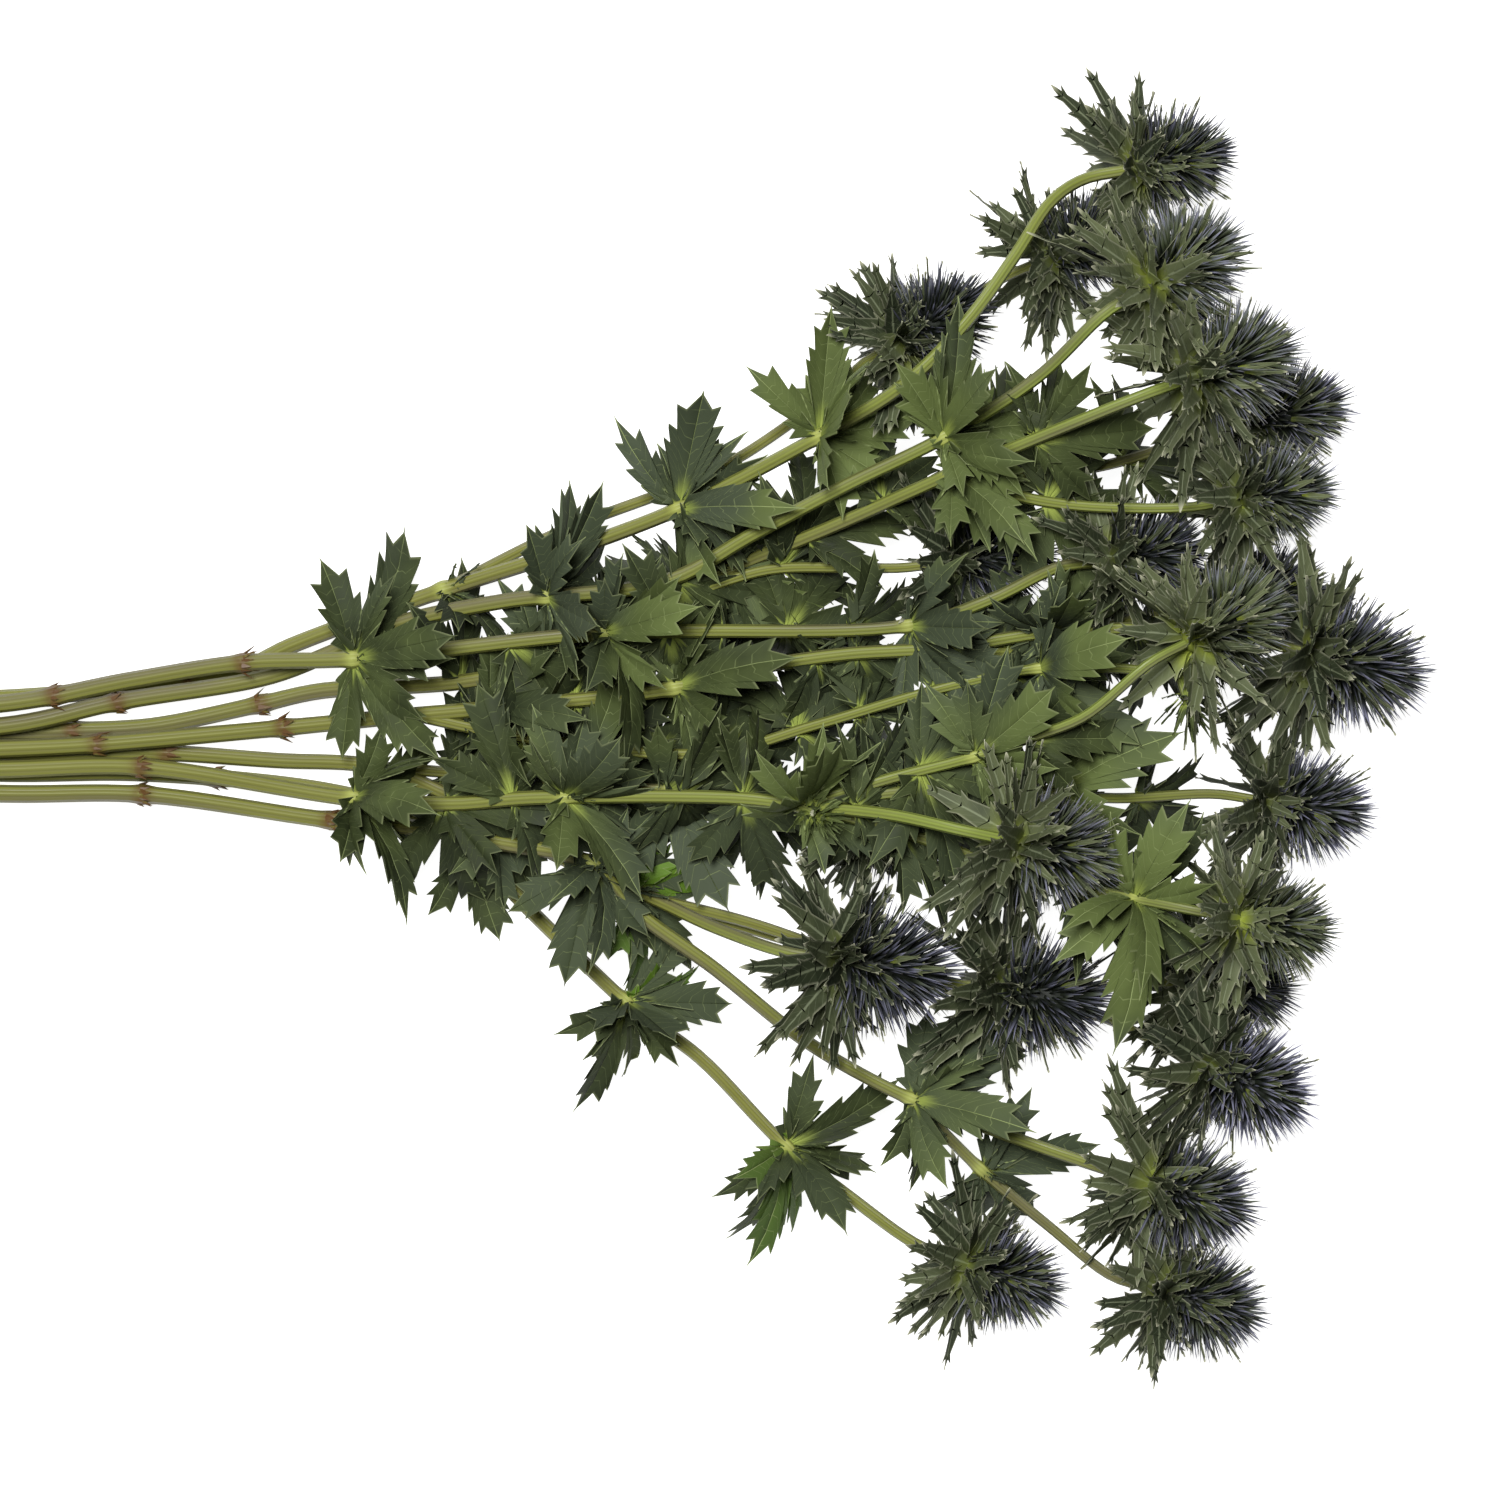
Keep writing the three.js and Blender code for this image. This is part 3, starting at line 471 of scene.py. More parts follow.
class Solids:
    """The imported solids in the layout's millimetres: their corners, and the free room between them."""

    TOLERANCE = 0.3

    def __init__(self, nodes: dict[str, Piece]) -> None:
        """Measures where the layout lies in the CAD frame, and reads every node's corners and faces."""
        low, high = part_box("elastic_band")
        shift = Vector((low.x - (BAND_X - BAND_WIDTH / 2) * MM, (low.y + high.y) / 2 - BUNDLE_Y * MM, low.z))
        self.to_frame = Matrix.Translation(shift) @ Matrix.Scale(MM, 4)
        back = self.to_frame.inverted()
        self.corners: dict[str, KDTree] = {}
        self.faces: dict[str, BVHTree] = {}
        for name, node in nodes.items():
            places = [back @ v.co for v in node.data.vertices]
            tree = KDTree(len(places))
            for i, place in enumerate(places):
                tree.insert(place, i)
            tree.balance()
            self.corners[name] = tree
            polygons = [p.vertices[:] for p in node.data.polygons]
            self.faces[name] = BVHTree.FromPolygons(places, polygons)

    def has_corners(self, node: str, places: Sequence[Vector]) -> bool:
        """Tells whether a node has a corner at each of some places."""
        return all(self.corners[node].find(place)[2] < self.TOLERANCE for place in places)

    def free_run(self, root: Vector, direction: Vector, length: float, own: Sequence[str]) -> float:
        """Measures how far a line runs before it meets a solid.

        Args:
            root: where the line starts.
            direction: the way it runs.
            length: how far it runs at most.
            own: the nodes that it may pass through.

        Returns:
            The free length.
        """
        others = (tree for name, tree in self.faces.items() if name not in own)
        hits = (tree.ray_cast(root, direction, length)[3] for tree in others)
        return min((hit for hit in hits if hit is not None), default=length)


class Painter:
    """Puts the nodes of one procedural material together."""

    def __init__(self, name: str) -> None:
        """Starts a material with its principled shader."""
        self.material = bpy.data.materials.new(name)
        self.material.use_nodes = True
        self.nodes = self.material.node_tree.nodes
        self.links = self.material.node_tree.links
        self.shader = self.nodes["Principled BSDF"]

    def make(self, kind: str, inputs: dict[Any, Any], **settings: Any) -> bpy.types.Node:
        """Makes a node.

        Args:
            kind: the node's type.
            inputs: each input's name or number, with a value or the socket that it is linked to.
            settings: the node's own properties.

        Returns:
            The node.
        """
        node = self.nodes.new(kind)
        for key, value in settings.items():
            setattr(node, key, value)
        for key, value in inputs.items():
            if isinstance(value, Socket):
                self.links.new(value, node.inputs[key])
            else:
                node.inputs[key].default_value = value
        return node

    def value(self, name: str) -> Socket:
        """Reads a value that the mesh carries at its corners."""
        return self.make("ShaderNodeAttribute", {}, attribute_name=name).outputs["Fac"]

    def place(self) -> Socket:
        """Reads the place on the object."""
        return self.make("ShaderNodeTexCoord", {}).outputs["Object"]

    def math(self, operation: str, a: Any, b: Any = 0.0) -> Socket:
        """Does a sum on one or two values."""
        return self.make("ShaderNodeMath", {0: a, 1: b}, operation=operation).outputs[0]

    def times(self, a: Any, b: Any) -> Socket:
        """Multiplies two values."""
        return self.math("MULTIPLY", a, b)

    def step(self, value: Any, low: float, high: float) -> Socket:
        """Rises smoothly from 0 to 1 between two values, or falls where the first is the larger."""
        inputs = {"Value": value, "From Min": low, "From Max": high}
        return self.make("ShaderNodeMapRange", inputs, interpolation_type="SMOOTHSTEP").outputs["Result"]

    def noise(self, scale: float, detail: float = 3.0, stretch: Point = (1, 1, 1)) -> Socket:
        """Gives a soft noise over the object, with features of about 1/scale metres."""
        place = self.make("ShaderNodeMapping", {"Vector": self.place(), "Scale": stretch}).outputs[0]
        inputs = {"Vector": place, "Scale": scale, "Detail": detail}
        return self.make("ShaderNodeTexNoise", inputs).outputs["Fac"]

    def mix(self, share: Any, a: Any, b: Any) -> Socket:
        """Mixes two colours."""
        a, b = (c if isinstance(c, Socket) else (*c, 1) for c in (a, b))
        return self.make("ShaderNodeMix", {0: share, 6: a, 7: b}, data_type="RGBA").outputs[2]

    def veins(self, along: Any, off_rib: Any, side: Point, rib: Span, strength: Any) -> Socket:
        """Draws a blade's midrib and its slanting side veins.

        Args:
            along: how far along the blade.
            off_rib: how far from its midrib.
            side: the number of side veins, their slant and their width.
            rib: where the midrib ends, and how far out it is full.
            strength: how strong the side veins are beside the midrib.

        Returns:
            1 on a midrib, 0 between the veins.
        """
        number, slant, width = side
        rung = self.math("SUBTRACT", self.times(along, number), self.times(off_rib, slant))
        side_vein = self.step(self.math("PINGPONG", rung, 0.5), width, 0.0)
        return self.math("MAXIMUM", self.step(off_rib, *rib), self.times(side_vein, strength))

    def bump(self, height: Any, distance: float, strength: float = 1.0) -> None:
        """Raises the surface by a pattern, to a height in metres."""
        inputs = {"Height": height, "Distance": distance, "Strength": strength}
        self.links.new(self.make("ShaderNodeBump", inputs).outputs[0], self.shader.inputs["Normal"])

    def finish(self, colour: Any, roughness: Any, **values: float) -> Material:
        """Gives the shader its colour, roughness and other values.

        Args:
            colour: a socket, or a colour that is the same all over.
            roughness: a socket, or a number.
            values: other inputs of the shader by name, with _ for a space.

        Returns:
            The material.
        """
        for key, value in {"Base Color": colour, "Roughness": roughness}.items():
            if isinstance(value, Socket):
                self.links.new(value, self.shader.inputs[key])
            else:
                self.shader.inputs[key].default_value = (*value, 1) if key == "Base Color" else value
        for key, value in values.items():
            self.shader.inputs[key.replace("_", " ")].default_value = value
        return self.material


@dataclass(frozen=True)
class LeafFinish:
    """Leathery leaves with a pale midrib in each lobe, finer side veins and a pale horny margin, with
    painted shade on low leaves and a painted backlight glow on some.
    """

    # The dark colour serves the random mottling and, most of all, the painted shade of low leaves in the
    # thicket.
    dark: Colour = (0.011, 0.015, 0.007)
    light: Colour = (0.108, 0.14, 0.042)
    blue: Colour = (0.05, 0.064, 0.036)
    # The yellow-green below is a painted backlight glow, for light shining through low leaves at the bunch's
    # edge.
    painted_backlight: Colour = (0.085, 0.16, 0.014)
    vein: Colour = (0.25, 0.3, 0.12)
    margin: Colour = (0.24, 0.27, 0.13)
    foot: Colour = (0.28, 0.34, 0.07)

    def material(self) -> Material:
        """Makes the material."""
        paint = Painter("leaf")
        along, across, tint = (paint.value(name) for name in ("along", "across", "tint"))
        off_rib = paint.math("ABSOLUTE", across)
        blotch = paint.noise(55, 4)
        # The tint carries painted shade: low leaves and those under the shoots are darker, as if shaded by
        # the leaves above.
        shade = paint.math("ADD", paint.times(blotch, 0.7), paint.times(tint, 0.75))
        colour = paint.mix(paint.step(shade, 0.25, 1.15), self.dark, self.light)
        bloom = paint.times(paint.step(paint.noise(14, 1), 0.45, 0.6), paint.step(tint, 0.0, 0.5))
        colour = paint.mix(bloom, colour, self.blue)
        # Painted backlight: the leaves with the highest tint glow yellow-green, as if lit through from
        # below.
        colour = paint.mix(paint.step(tint, 0.9, 1.0), colour, self.painted_backlight)
        inner = paint.times(paint.step(along, 0.98, 0.85), 0.45)
        veins = paint.veins(along, off_rib, (7.5, 2.4, 0.05), (0.17, 0.03), inner)
        colour = paint.mix(paint.times(veins, paint.step(tint, -0.6, 1.0)), colour, self.vein)
        colour = paint.mix(paint.times(paint.step(along, 0.97, 1.0), 0.4), colour, self.margin)
        colour = paint.mix(paint.step(along, 0.34, 0.02), colour, self.foot)
        relief = paint.math("SUBTRACT", paint.times(paint.noise(320, 2), 0.5), veins)
        paint.bump(relief, 0.0002, 0.6)
        return paint.finish(colour, paint.step(blotch, -1.2, 1.6), Specular_IOR_Level=0.12)


@dataclass(frozen=True)
class BractFinish:
    """Stiff grey-green bracts, yellow-green at the foot, with a pale midrib and straw spines."""

    dark: Colour = (0.024, 0.031, 0.016)
    light: Colour = (0.125, 0.145, 0.068)
    foot: Colour = (0.26, 0.31, 0.035)
    vein: Colour = (0.23, 0.26, 0.16)
    spine: Colour = (0.4, 0.4, 0.28)

    def material(self) -> Material:
        """Makes the material."""
        paint = Painter("bract")
        along, across, tint = (paint.value(name) for name in ("along", "across", "tint"))
        off_rib = paint.math("ABSOLUTE", across)
        blotch = paint.noise(80, 3)
        shade = paint.math("ADD", paint.times(blotch, 0.6), paint.times(tint, 0.8))
        colour = paint.mix(paint.step(shade, 0.3, 1.15), self.dark, self.light)
        veins = paint.veins(along, off_rib, (9, 1.5, 0.07), (0.16, 0.04), 0.35)
        colour = paint.mix(paint.times(veins, 0.6), colour, self.vein)
        rim = paint.times(paint.step(off_rib, 0.8, 1.0), 0.35)
        colour = paint.mix(paint.math("MAXIMUM", rim, paint.step(along, 0.88, 1.0)), colour, self.spine)
        green = paint.times(paint.step(along, 0.32, 0.0), paint.step(tint, 0.1, 0.9))
        colour = paint.mix(green, colour, self.foot)
        paint.bump(paint.math("SUBTRACT", paint.noise(500, 2), veins), 0.0002, 0.6)
        return paint.finish(colour, 0.55, Specular_IOR_Level=0.15)


@dataclass(frozen=True)
class FloretFinish:
    """The bristles of a cone: green at the foot, steel blue in the middle and lilac at the tip."""

    foot: Colour = (0.011, 0.014, 0.009)
    green: Colour = (0.075, 0.092, 0.042)
    blue: Colour = (0.03, 0.033, 0.04)
    lilac: Colour = (0.27, 0.27, 0.38)
    straw: Colour = (0.36, 0.33, 0.24)

    def material(self) -> Material:
        """Makes the material."""
        paint = Painter("floret")
        along, tint, lilac = (paint.value(name) for name in ("along", "tint", "lilac"))
        body = paint.mix(paint.step(tint, 0.2, 0.9), self.blue, self.green)
        colour = paint.mix(paint.step(along, 0.1, 0.55), self.foot, body)
        tips = paint.times(paint.step(along, 0.3, 0.85), lilac)
        colour = paint.mix(tips, colour, self.lilac)
        colour = paint.mix(paint.times(paint.step(along, 0.8, 1.0), 0.45), colour, self.straw)
        paint.bump(paint.noise(900, 2), 0.0001, 0.5)
        return paint.finish(colour, 0.5, Specular_IOR_Level=0.15)


@dataclass(frozen=True)
class StemFinish:
    """Ribbed stems, greener where they are high, with pale joints, brown scars and white pith."""

    shaded: Colour = (0.085, 0.078, 0.04)
    green: Colour = (0.175, 0.18, 0.034)
    bright: Colour = (0.21, 0.265, 0.048)
    purple: Colour = (0.1, 0.078, 0.068)
    joint: Colour = (0.33, 0.36, 0.09)
    scar: Colour = (0.1, 0.05, 0.016)
    pith: Colour = (0.62, 0.62, 0.45)

    def material(self) -> Material:
        """Makes the material."""
        paint = Painter("stem")
        rib, joint, scar, pith, flank, tint = (
            paint.value(name) for name in ("rib", "joint", "scar", "pith", "flank", "tint")
        )
        streak = paint.noise(160, 4, (0.06, 1, 1))
        colour = paint.mix(tint, self.green, self.bright)
        lift = paint.math("ADD", rib, paint.times(streak, 0.6))
        colour = paint.mix(paint.step(lift, 0.2, 1.5), paint.mix(0.35, colour, self.shaded), colour)
        blush = paint.times(paint.step(flank, 0.45, 0.95), paint.step(paint.noise(18, 2), 0.3, 0.65))
        colour = paint.mix(paint.times(blush, 0.5), colour, self.purple)
        colour = paint.mix(paint.times(joint, 0.8), colour, self.joint)
        torn = paint.times(scar, paint.step(paint.noise(420, 3), 0.15, 0.5))
        colour = paint.mix(torn, colour, self.scar)
        colour = paint.mix(pith, colour, self.pith)
        grain = paint.math("ADD", paint.times(streak, 0.6), rib)
        paint.bump(grain, 0.0003, 0.8)
        return paint.finish(colour, paint.step(streak, -0.9, 2.0), Specular_IOR_Level=0.3)


@dataclass(frozen=True)
class RubberFinish:
    """A tan elastic band with a little dust and wear."""

    clean: Colour = (0.45, 0.3, 0.13)
    dusty: Colour = (0.56, 0.44, 0.27)

    def material(self) -> Material:
        """Makes the material."""
        paint = Painter("rubber")
        dust = paint.noise(150, 4)
        colour = paint.mix(paint.step(dust, 0.35, 0.7), self.clean, self.dusty)
        paint.bump(paint.noise(700, 2), 0.0002, 0.5)
        return paint.finish(colour, paint.step(dust, -0.6, 1.6))


@dataclass(frozen=True)
class FloorFinish:
    """A pale floor that is lit from below, as a light table is."""

    colour: Colour = (0.5, 0.5, 0.5)
    glow: float = 0.95

    def material(self) -> Material:
        """Makes the material."""
        paint = Painter("floor")
        paint.shader.inputs["Emission Color"].default_value = (1, 1, 1, 1)
        return paint.finish(self.colour, 0.9, Emission_Strength=self.glow, Specular_IOR_Level=0.0)


class Mould:
    """A mesh in the making, with the values that its finish reads at its corners."""

    def __init__(self, *values: str) -> None:
        """Starts an empty mesh with a layer for each value."""
        self.mesh = bmesh.new()
        self.layers = {name: self.mesh.verts.layers.float.new(name) for name in values}

    def grid(self, columns: int, rows: int) -> list[tuple[Corner, int, int]]:
        """Makes a flat grid to shape.

        Args:
            columns: its cells along X.
            rows: its cells along Y.

        Returns:
            Each corner with its column and its row.
        """
        made = bmesh.ops.create_grid(self.mesh, x_segments=columns, y_segments=rows, size=0.5)["verts"]
        return [(v, round((v.co.x + 0.5) * columns), round((v.co.y + 0.5) * rows)) for v in made]

    def needle(self, frame: Matrix, width: float, length: float) -> list[tuple[Corner, float]]:
        """Makes a pointed, flattened needle along a frame's X.

        Args:
            frame: the needle's frame.
            width: its width at the foot.
            length: its length.

        Returns:
            Each corner with how far along the needle it is, from 0 to 1.
        """
        laid = frame @ Matrix.Rotation(math.pi / 2, 4, "Y") @ Matrix.Translation((0, 0, length / 2))
        flat = Matrix.Diagonal((0.6, 1, 1, 1))
        made = bmesh.ops.create_cone(
            self.mesh, cap_ends=True, segments=4, radius1=width / 2, radius2=0.04, depth=length,
            matrix=laid @ flat,
        )["verts"]
        run, root = frame.col[0].xyz, frame.translation
        return [(v, (v.co - root).dot(run) / length) for v in made]

    def set(self, corner: Corner, **values: float) -> None:
        """Gives a corner its values."""
        for name, value in values.items():
            corner[self.layers[name]] = value

    def thicken(self, thickness: float) -> None:
        """Gives every sheet in the mesh its thickness."""
        bmesh.ops.remove_doubles(self.mesh, verts=self.mesh.verts[:], dist=MERGE_DISTANCE)
        bmesh.ops.recalc_face_normals(self.mesh, faces=self.mesh.faces[:])
        out = self.mesh.verts.layers.float_vector.new("out")
        for corner in self.mesh.verts:
            corner[out] = corner.normal
        made = bmesh.ops.extrude_face_region(self.mesh, geom=self.mesh.faces[:], use_keep_orig=True)["geom"]
        for corner in made:
            if isinstance(corner, Corner):
                corner.co -= corner[out] * thickness
        self.mesh.verts.layers.float_vector.remove(out)

    def piece(self, name: str, solids: Solids, material: Material) -> Piece:
        """Turns the mesh into a finished piece in the CAD frame.

        Args:
            name: the piece's name.
            solids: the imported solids, which know where the layout lies.
            material: the piece's finish.

        Returns:
            The new object.
        """
        bmesh.ops.recalc_face_normals(self.mesh, faces=self.mesh.faces[:])
        bmesh.ops.transform(self.mesh, matrix=solids.to_frame, verts=self.mesh.verts[:])
        for face in self.mesh.faces:
            face.smooth = True
        data = bpy.data.meshes.new(name)
        self.mesh.to_mesh(data)
        self.mesh.free()
        data.set_sharp_from_angle(angle=SHARP_EDGE)
        data.materials.append(material)
        piece = bpy.data.objects.new(name, data)
        bpy.context.scene.collection.objects.link(piece)
        return piece


@dataclass(frozen=True)
class Blade:
    """A pointed blade with forward spiny teeth, channelled along its midrib, along its frame's X."""

    length: float
    half_width: float
    teeth: int
    spine: float = 1.9
    curl: float = 0.0
    fold: float = 0.3
    wave: float = 0.35
    first_tooth: float = 0.24
    lone_tooth: float = 0.45
    toothed: float = 0.6

    def half(self, t: float) -> float:
        """Gives the half width of the blade without its teeth at a share of its length."""
        return 1.25 * self.half_width * min(1, 0.5 + 1.8 * t) * (1 - t) ** 0.7

    def stations(self) -> list[Point]:
        """Lists the blade's cross-sections from foot to tip.

        Returns:
            For each, the share of the length at its middle and at its edges, and its half width.
        """
        half = self.half
        found = [(0.0, 0.0, 0.8 * half(0)), (0.1, 0.1, half(0.1))]
        gap = self.toothed / max(self.teeth - 1, 1)
        for k in range(self.teeth):
            t = self.first_tooth + gap * k if self.teeth > 1 else self.lone_tooth
            found += [
                (t - 0.035, t - 0.02, half(t - 0.02)),
                (t, t + 0.085, 0.95 * half(t) + self.spine * (1.15 - 0.6 * t)),
                (t + 0.02, t + 0.03, 0.96 * half(t + 0.03)),
            ]
        if self.teeth == 0:
            found += [(t, t, half(t)) for t in (0.3, 0.5, 0.7, 0.85)]
        return found + [(0.94, 0.94, 0.16 * self.half_width), (1.0, 1.0, 0.0)]

    def add_to(self, mould: Mould, frame: Matrix, tint: float, draws: Draws) -> None:
        """Makes the blade in a mould.

        Args:
            mould: the mesh that it is made in.
            frame: the blade's own frame.
            tint: how light its colour is, from 0 to 1.
            draws: the numbers that its wave and bend come from.
        """
        stations = self.stations()
        phase = draws.between(0, 2 * math.pi)
        sway = draws.between(-0.05, 0.05) * self.length
        for corner, column, row in mould.grid(len(stations) - 1, 2):
            middle, edge, half = stations[column]
            across = row - 1
            x = self.length * (middle + (edge - middle) * across * across)
            y = across * half + sway * middle * middle
            wave = self.wave * abs(across) * math.sin(4 * math.pi * middle + phase + 2 * across)
            z = self.fold * abs(across) * half + wave - self.curl * middle * middle * self.length
            corner.co = above_table(frame @ Vector((x, y, z)))
            mould.set(corner, along=middle, across=across, tint=tint)


@dataclass(frozen=True)
class Leaf:
    """A lobed, spiny leaf: a fan of rays from its clasping foot out to the points of its outline."""

    share: float
    shares_of_ray: tuple[float, ...] = (0, 0.25, 0.5, 0.75, 0.94, 1)
    bends: Span = (-0.2, 0.5)
    foot_half_width: float = 2.3
    heart: float = 2.5
    half_widths: Span = (0.11, 0.185)
    cuts: Span = (0.25, 0.4)
    tooth_lengths: Span = (1.6, 3.7)
    first_tooth: float = 0.38
    toothed: float = 0.5
    cup: float = 2.2
    ripple: float = 1.1

    def tips(self) -> list[Vector]:
        """Lists the tips of the three main lobes from right to left."""
        return [tip for tip, _ in self.lobes()[1:4]]

    def lobes(self) -> list[tuple[Vector, int]]:
        """Lists the lobes from right to left, each by its tip and its number of teeth on a side."""
        length = LEAF_LENGTH * self.share
        found = []
        for angle, reach, teeth in (
            (-LEAF_LOBE_ANGLE, LEAF_SIDE_REACH, 2), (0, 1, 3), (LEAF_LOBE_ANGLE, LEAF_SIDE_REACH, 2),
        ):
            run = Vector((math.cos(math.radians(angle)), math.sin(math.radians(angle))))
            found.append((Vector((LEAF_HUB, 0)) + run * reach * length, teeth))
        back = 0.36 * length
        shoulder = Vector((self.heart + 0.18 * back, back))
        return [(Vector((shoulder.x, -back)), 1), *found, (shoulder, 1)]

    def outline(self, draws: Draws) -> list[tuple[float, float, float, float]]:
        """Lists the outline's points from right to left.

        Args:
            draws: the numbers that the widths, teeth and bends of the lobes come from.

        Returns:
            For each point its x and y, how far it is from a midrib, -1 to 1, and its lobe's bend.
        """
        heart = Vector((self.heart, 0))
        lobes = self.lobes()
        bends = [draws.between(*self.bends) for _ in lobes]
        points = [(1.0, -self.foot_half_width, -1.0, bends[0])]
        for i, (tip, teeth) in enumerate(lobes):
            run = tip - heart
            left = Vector((-run.y, run.x)).normalized()
            half = draws.between(*self.half_widths) * run.length
            sides = []
            for side in (-1, 1):
                edge = []
                for k in range(teeth):
                    t = self.first_tooth + self.toothed * (k + draws.between(0.3, 0.75)) / (teeth + 0.4)
                    width = half * (1.8 - 1.8 * t) ** 0.55
                    reach = width + draws.between(*self.tooth_lengths)
                    tooth = heart + run * (t + 0.11) + left * side * reach
                    notch = heart + run * (t + 0.06) + left * side * width * 0.85
                    edge += [(*tooth, side * 0.9, bends[i]), (*notch, side * 0.6, bends[i])]
                edge.append((*(heart + run * 0.955 + left * side * 0.3), side * 0.2, bends[i]))
                sides.append(edge)
            points += sides[0] + [(tip.x, tip.y, 0.0, bends[i])] + sides[1][::-1]
            if i + 1 < len(lobes):
                after = lobes[i + 1][0] - heart
                depth = draws.between(*self.cuts) * min(run.length, after.length)
                sinus = heart + (run.normalized() + after.normalized()).normalized() * depth
                points.append((sinus.x, sinus.y, 1.0, (bends[i] + bends[i + 1]) / 2))
        return points + [(1.0, self.foot_half_width, 1.0, bends[-1])]

    def add_to(self, mould: Mould, frame: Matrix, tint: float, draws: Draws) -> None:
        """Makes the leaf in a mould.

        Args:
            mould: the mesh that it is made in.
            frame: the leaf's own frame.
            tint: how light its colour is, from 0 to 1.
            draws: the numbers that its wave comes from.
        """
        points = self.outline(draws)
        last = len(points) - 1
        phase = draws.between(0, 2 * math.pi)
        length = LEAF_LENGTH * self.share
        for corner, column, row in mould.grid(last, len(self.shares_of_ray) - 1):
            x, y, across, bend = points[column]
            ray = self.shares_of_ray[row]
            foot_y = self.foot_half_width * (2 * column / last - 1)
            reach = math.hypot(x - LEAF_HUB, y) / length
            z = -(LEAF_CURL + bend * ray * reach) * ray * ray * reach * length
            ripple = math.sin(9 * math.atan2(y, x + 4) + phase)
            z += self.cup * abs(across) * ray + self.ripple * ray * ray * ripple
            z -= 0.35 * abs(foot_y) * (1 - ray)
            corner.co = above_table(frame @ Vector((1 + (x - 1) * ray, foot_y + (y - foot_y) * ray, z)))
            mould.set(corner, along=ray, across=across, tint=tint)


@dataclass
class Stalk:
    """A ribbed, jointed stem along its way."""

    way: Way
    radii: tuple[float, float]
    whorls: tuple[float, ...]
    scars: tuple[float, ...]
    sides: int = 16
    ribs: int = 8
    rags: int = 10
    step: float = 4.0
    joint_reach: float = 2.6
    scar_reach: float = 3.0
    scar_strength: float = 0.85
    joint_clear: float = 6.5
    near: tuple[float, ...] = (-5, -3.6, -2.4, -1.6, -0.9, -0.4, 0, 0.4, 0.9, 1.6, 2.4, 3.6, 5)

    def rings(self) -> list[float]:
        """Lists where along its way the stem has a ring of corners, in millimetres."""
        length = self.way.length
        joints = [share * length for share in (*self.whorls, *self.scars)]
        plain = np.linspace(0, length, math.ceil(length / self.step) + 1)
        found = [
            s for s in plain if s in (0, length) or all(abs(s - j) > self.joint_clear for j in joints)
        ]
        found += [j + offset for j in joints for offset in self.near if 0 < j + offset < length]
        return sorted(found)

    def radius(self, share: float) -> float:
        """Gives the stem's radius at a share of its length."""
        return self.radii[0] + (self.radii[1] - self.radii[0]) * share

    def nearness(self, share: float, joints: tuple[float, ...], reach: float) -> float:
        """Tells how near a share of the length is to a joint.

        Args:
            share: the share.
            joints: where the joints are, as shares.
            reach: how far a joint reaches, in millimetres.

        Returns:
            1 at a joint, and 0 far from every one.
        """
        gaps = ((share - joint) * self.way.length / reach for joint in joints)
        return max((math.exp(-(gap**2)) for gap in gaps), default=0)

    def add_to(self, mould: Mould, tint: float, draws: Draws) -> None:
        """Makes the stem in a mould.

        Args:
            mould: the mesh that it is made in.
            tint: how bright its green is, from 0 to 1.
            draws: the numbers that its twist and its torn scars come from.
        """
        length = self.way.length
        rings = self.rings()
        twist = draws.between(0, 2 * math.pi)
        frames = [(self.way.place(s / length), self.way.axes(s / length)) for s in rings]
        made = mould.grid(len(rings) - 1, self.sides)
        for corner, column, row in made:
            s = rings[column]
            place, axes = frames[column]
            turn = 2 * math.pi * row / self.sides
            rib = 0.5 + 0.5 * math.cos(self.ribs * turn)
            joint = self.nearness(s / length, self.whorls, self.joint_reach)
            scar = self.nearness(s / length, self.scars, self.scar_reach)
            radius = self.radius(s / length) * (0.95 + 0.07 * rib * (1 - joint))
            radius *= 1 + (JOINT_SWELL - 1) * joint + (SCAR_SWELL - 1) * scar
            corner.co = place + axes.radial(turn) * radius
            glow = min(max(tint + (place.z - 40) / 60, 0), 1)
            flank = 0.5 + 0.5 * math.cos(turn + twist)
            scar *= self.scar_strength
            mould.set(corner, rib=rib, joint=joint, scar=scar, pith=0, tint=glow, flank=flank)
        corners = [corner for corner, _, _ in made]
        bmesh.ops.remove_doubles(mould.mesh, verts=corners, dist=MERGE_DISTANCE)
        open_edges = [edge for edge in mould.mesh.edges if edge.is_boundary]
        caps = bmesh.ops.holes_fill(mould.mesh, edges=open_edges, sides=0)["faces"]
        bmesh.ops.inset_individual(mould.mesh, faces=caps, thickness=0.5)
        for cap in caps:
            for corner in cap.verts:
                mould.set(corner, pith=1)
        centres = bmesh.ops.poke(mould.mesh, faces=caps)["verts"]
        for corner in centres:
            mould.set(corner, pith=0.8)
        for share in self.scars:
            self.tear(mould, share, draws)

    def tear(self, mould: Mould, share: float, draws: Draws) -> None:
        """Leaves the brown rags of a torn leaf sheath at a bare joint.

        Args:
            mould: the mesh that they are made in.
            share: where the joint is, as a share of the way.
            draws: the numbers that their sizes come from.
        """
        axes = self.way.axes(share)
        for k in range(self.rags):
            roll = k * 360 / self.rags + draws.between(-16, 16)
            root = self.way.place(share) + axes.radial(math.radians(roll)) * self.radius(share) * 1.04
            root += axes.axis * draws.between(-1.6, 0.8)
            frame = axes.outward(root, roll, draws.between(8, 42))
            for corner, _ in mould.needle(frame, draws.between(1.6, 3.0), draws.between(2.0, 5.5)):
                mould.set(corner, rib=0.4, joint=0, scar=1, pith=0, tint=0.3, flank=0)
                corner.co = above_table(corner.co, 0.2, 0.5)


class Bract(Enum):
    """The bracts that fill a ruff out: number, spreads, lengths, half width and teeth of each kind."""

    SWEPT = (13, (104, 150), (25, 38), 4.1, 3)
    SIDE = (14, (62, 104), (22, 33), 3.8, 3)
    INNER = (14, (34, 62), (14, 23), 2.6, 2)


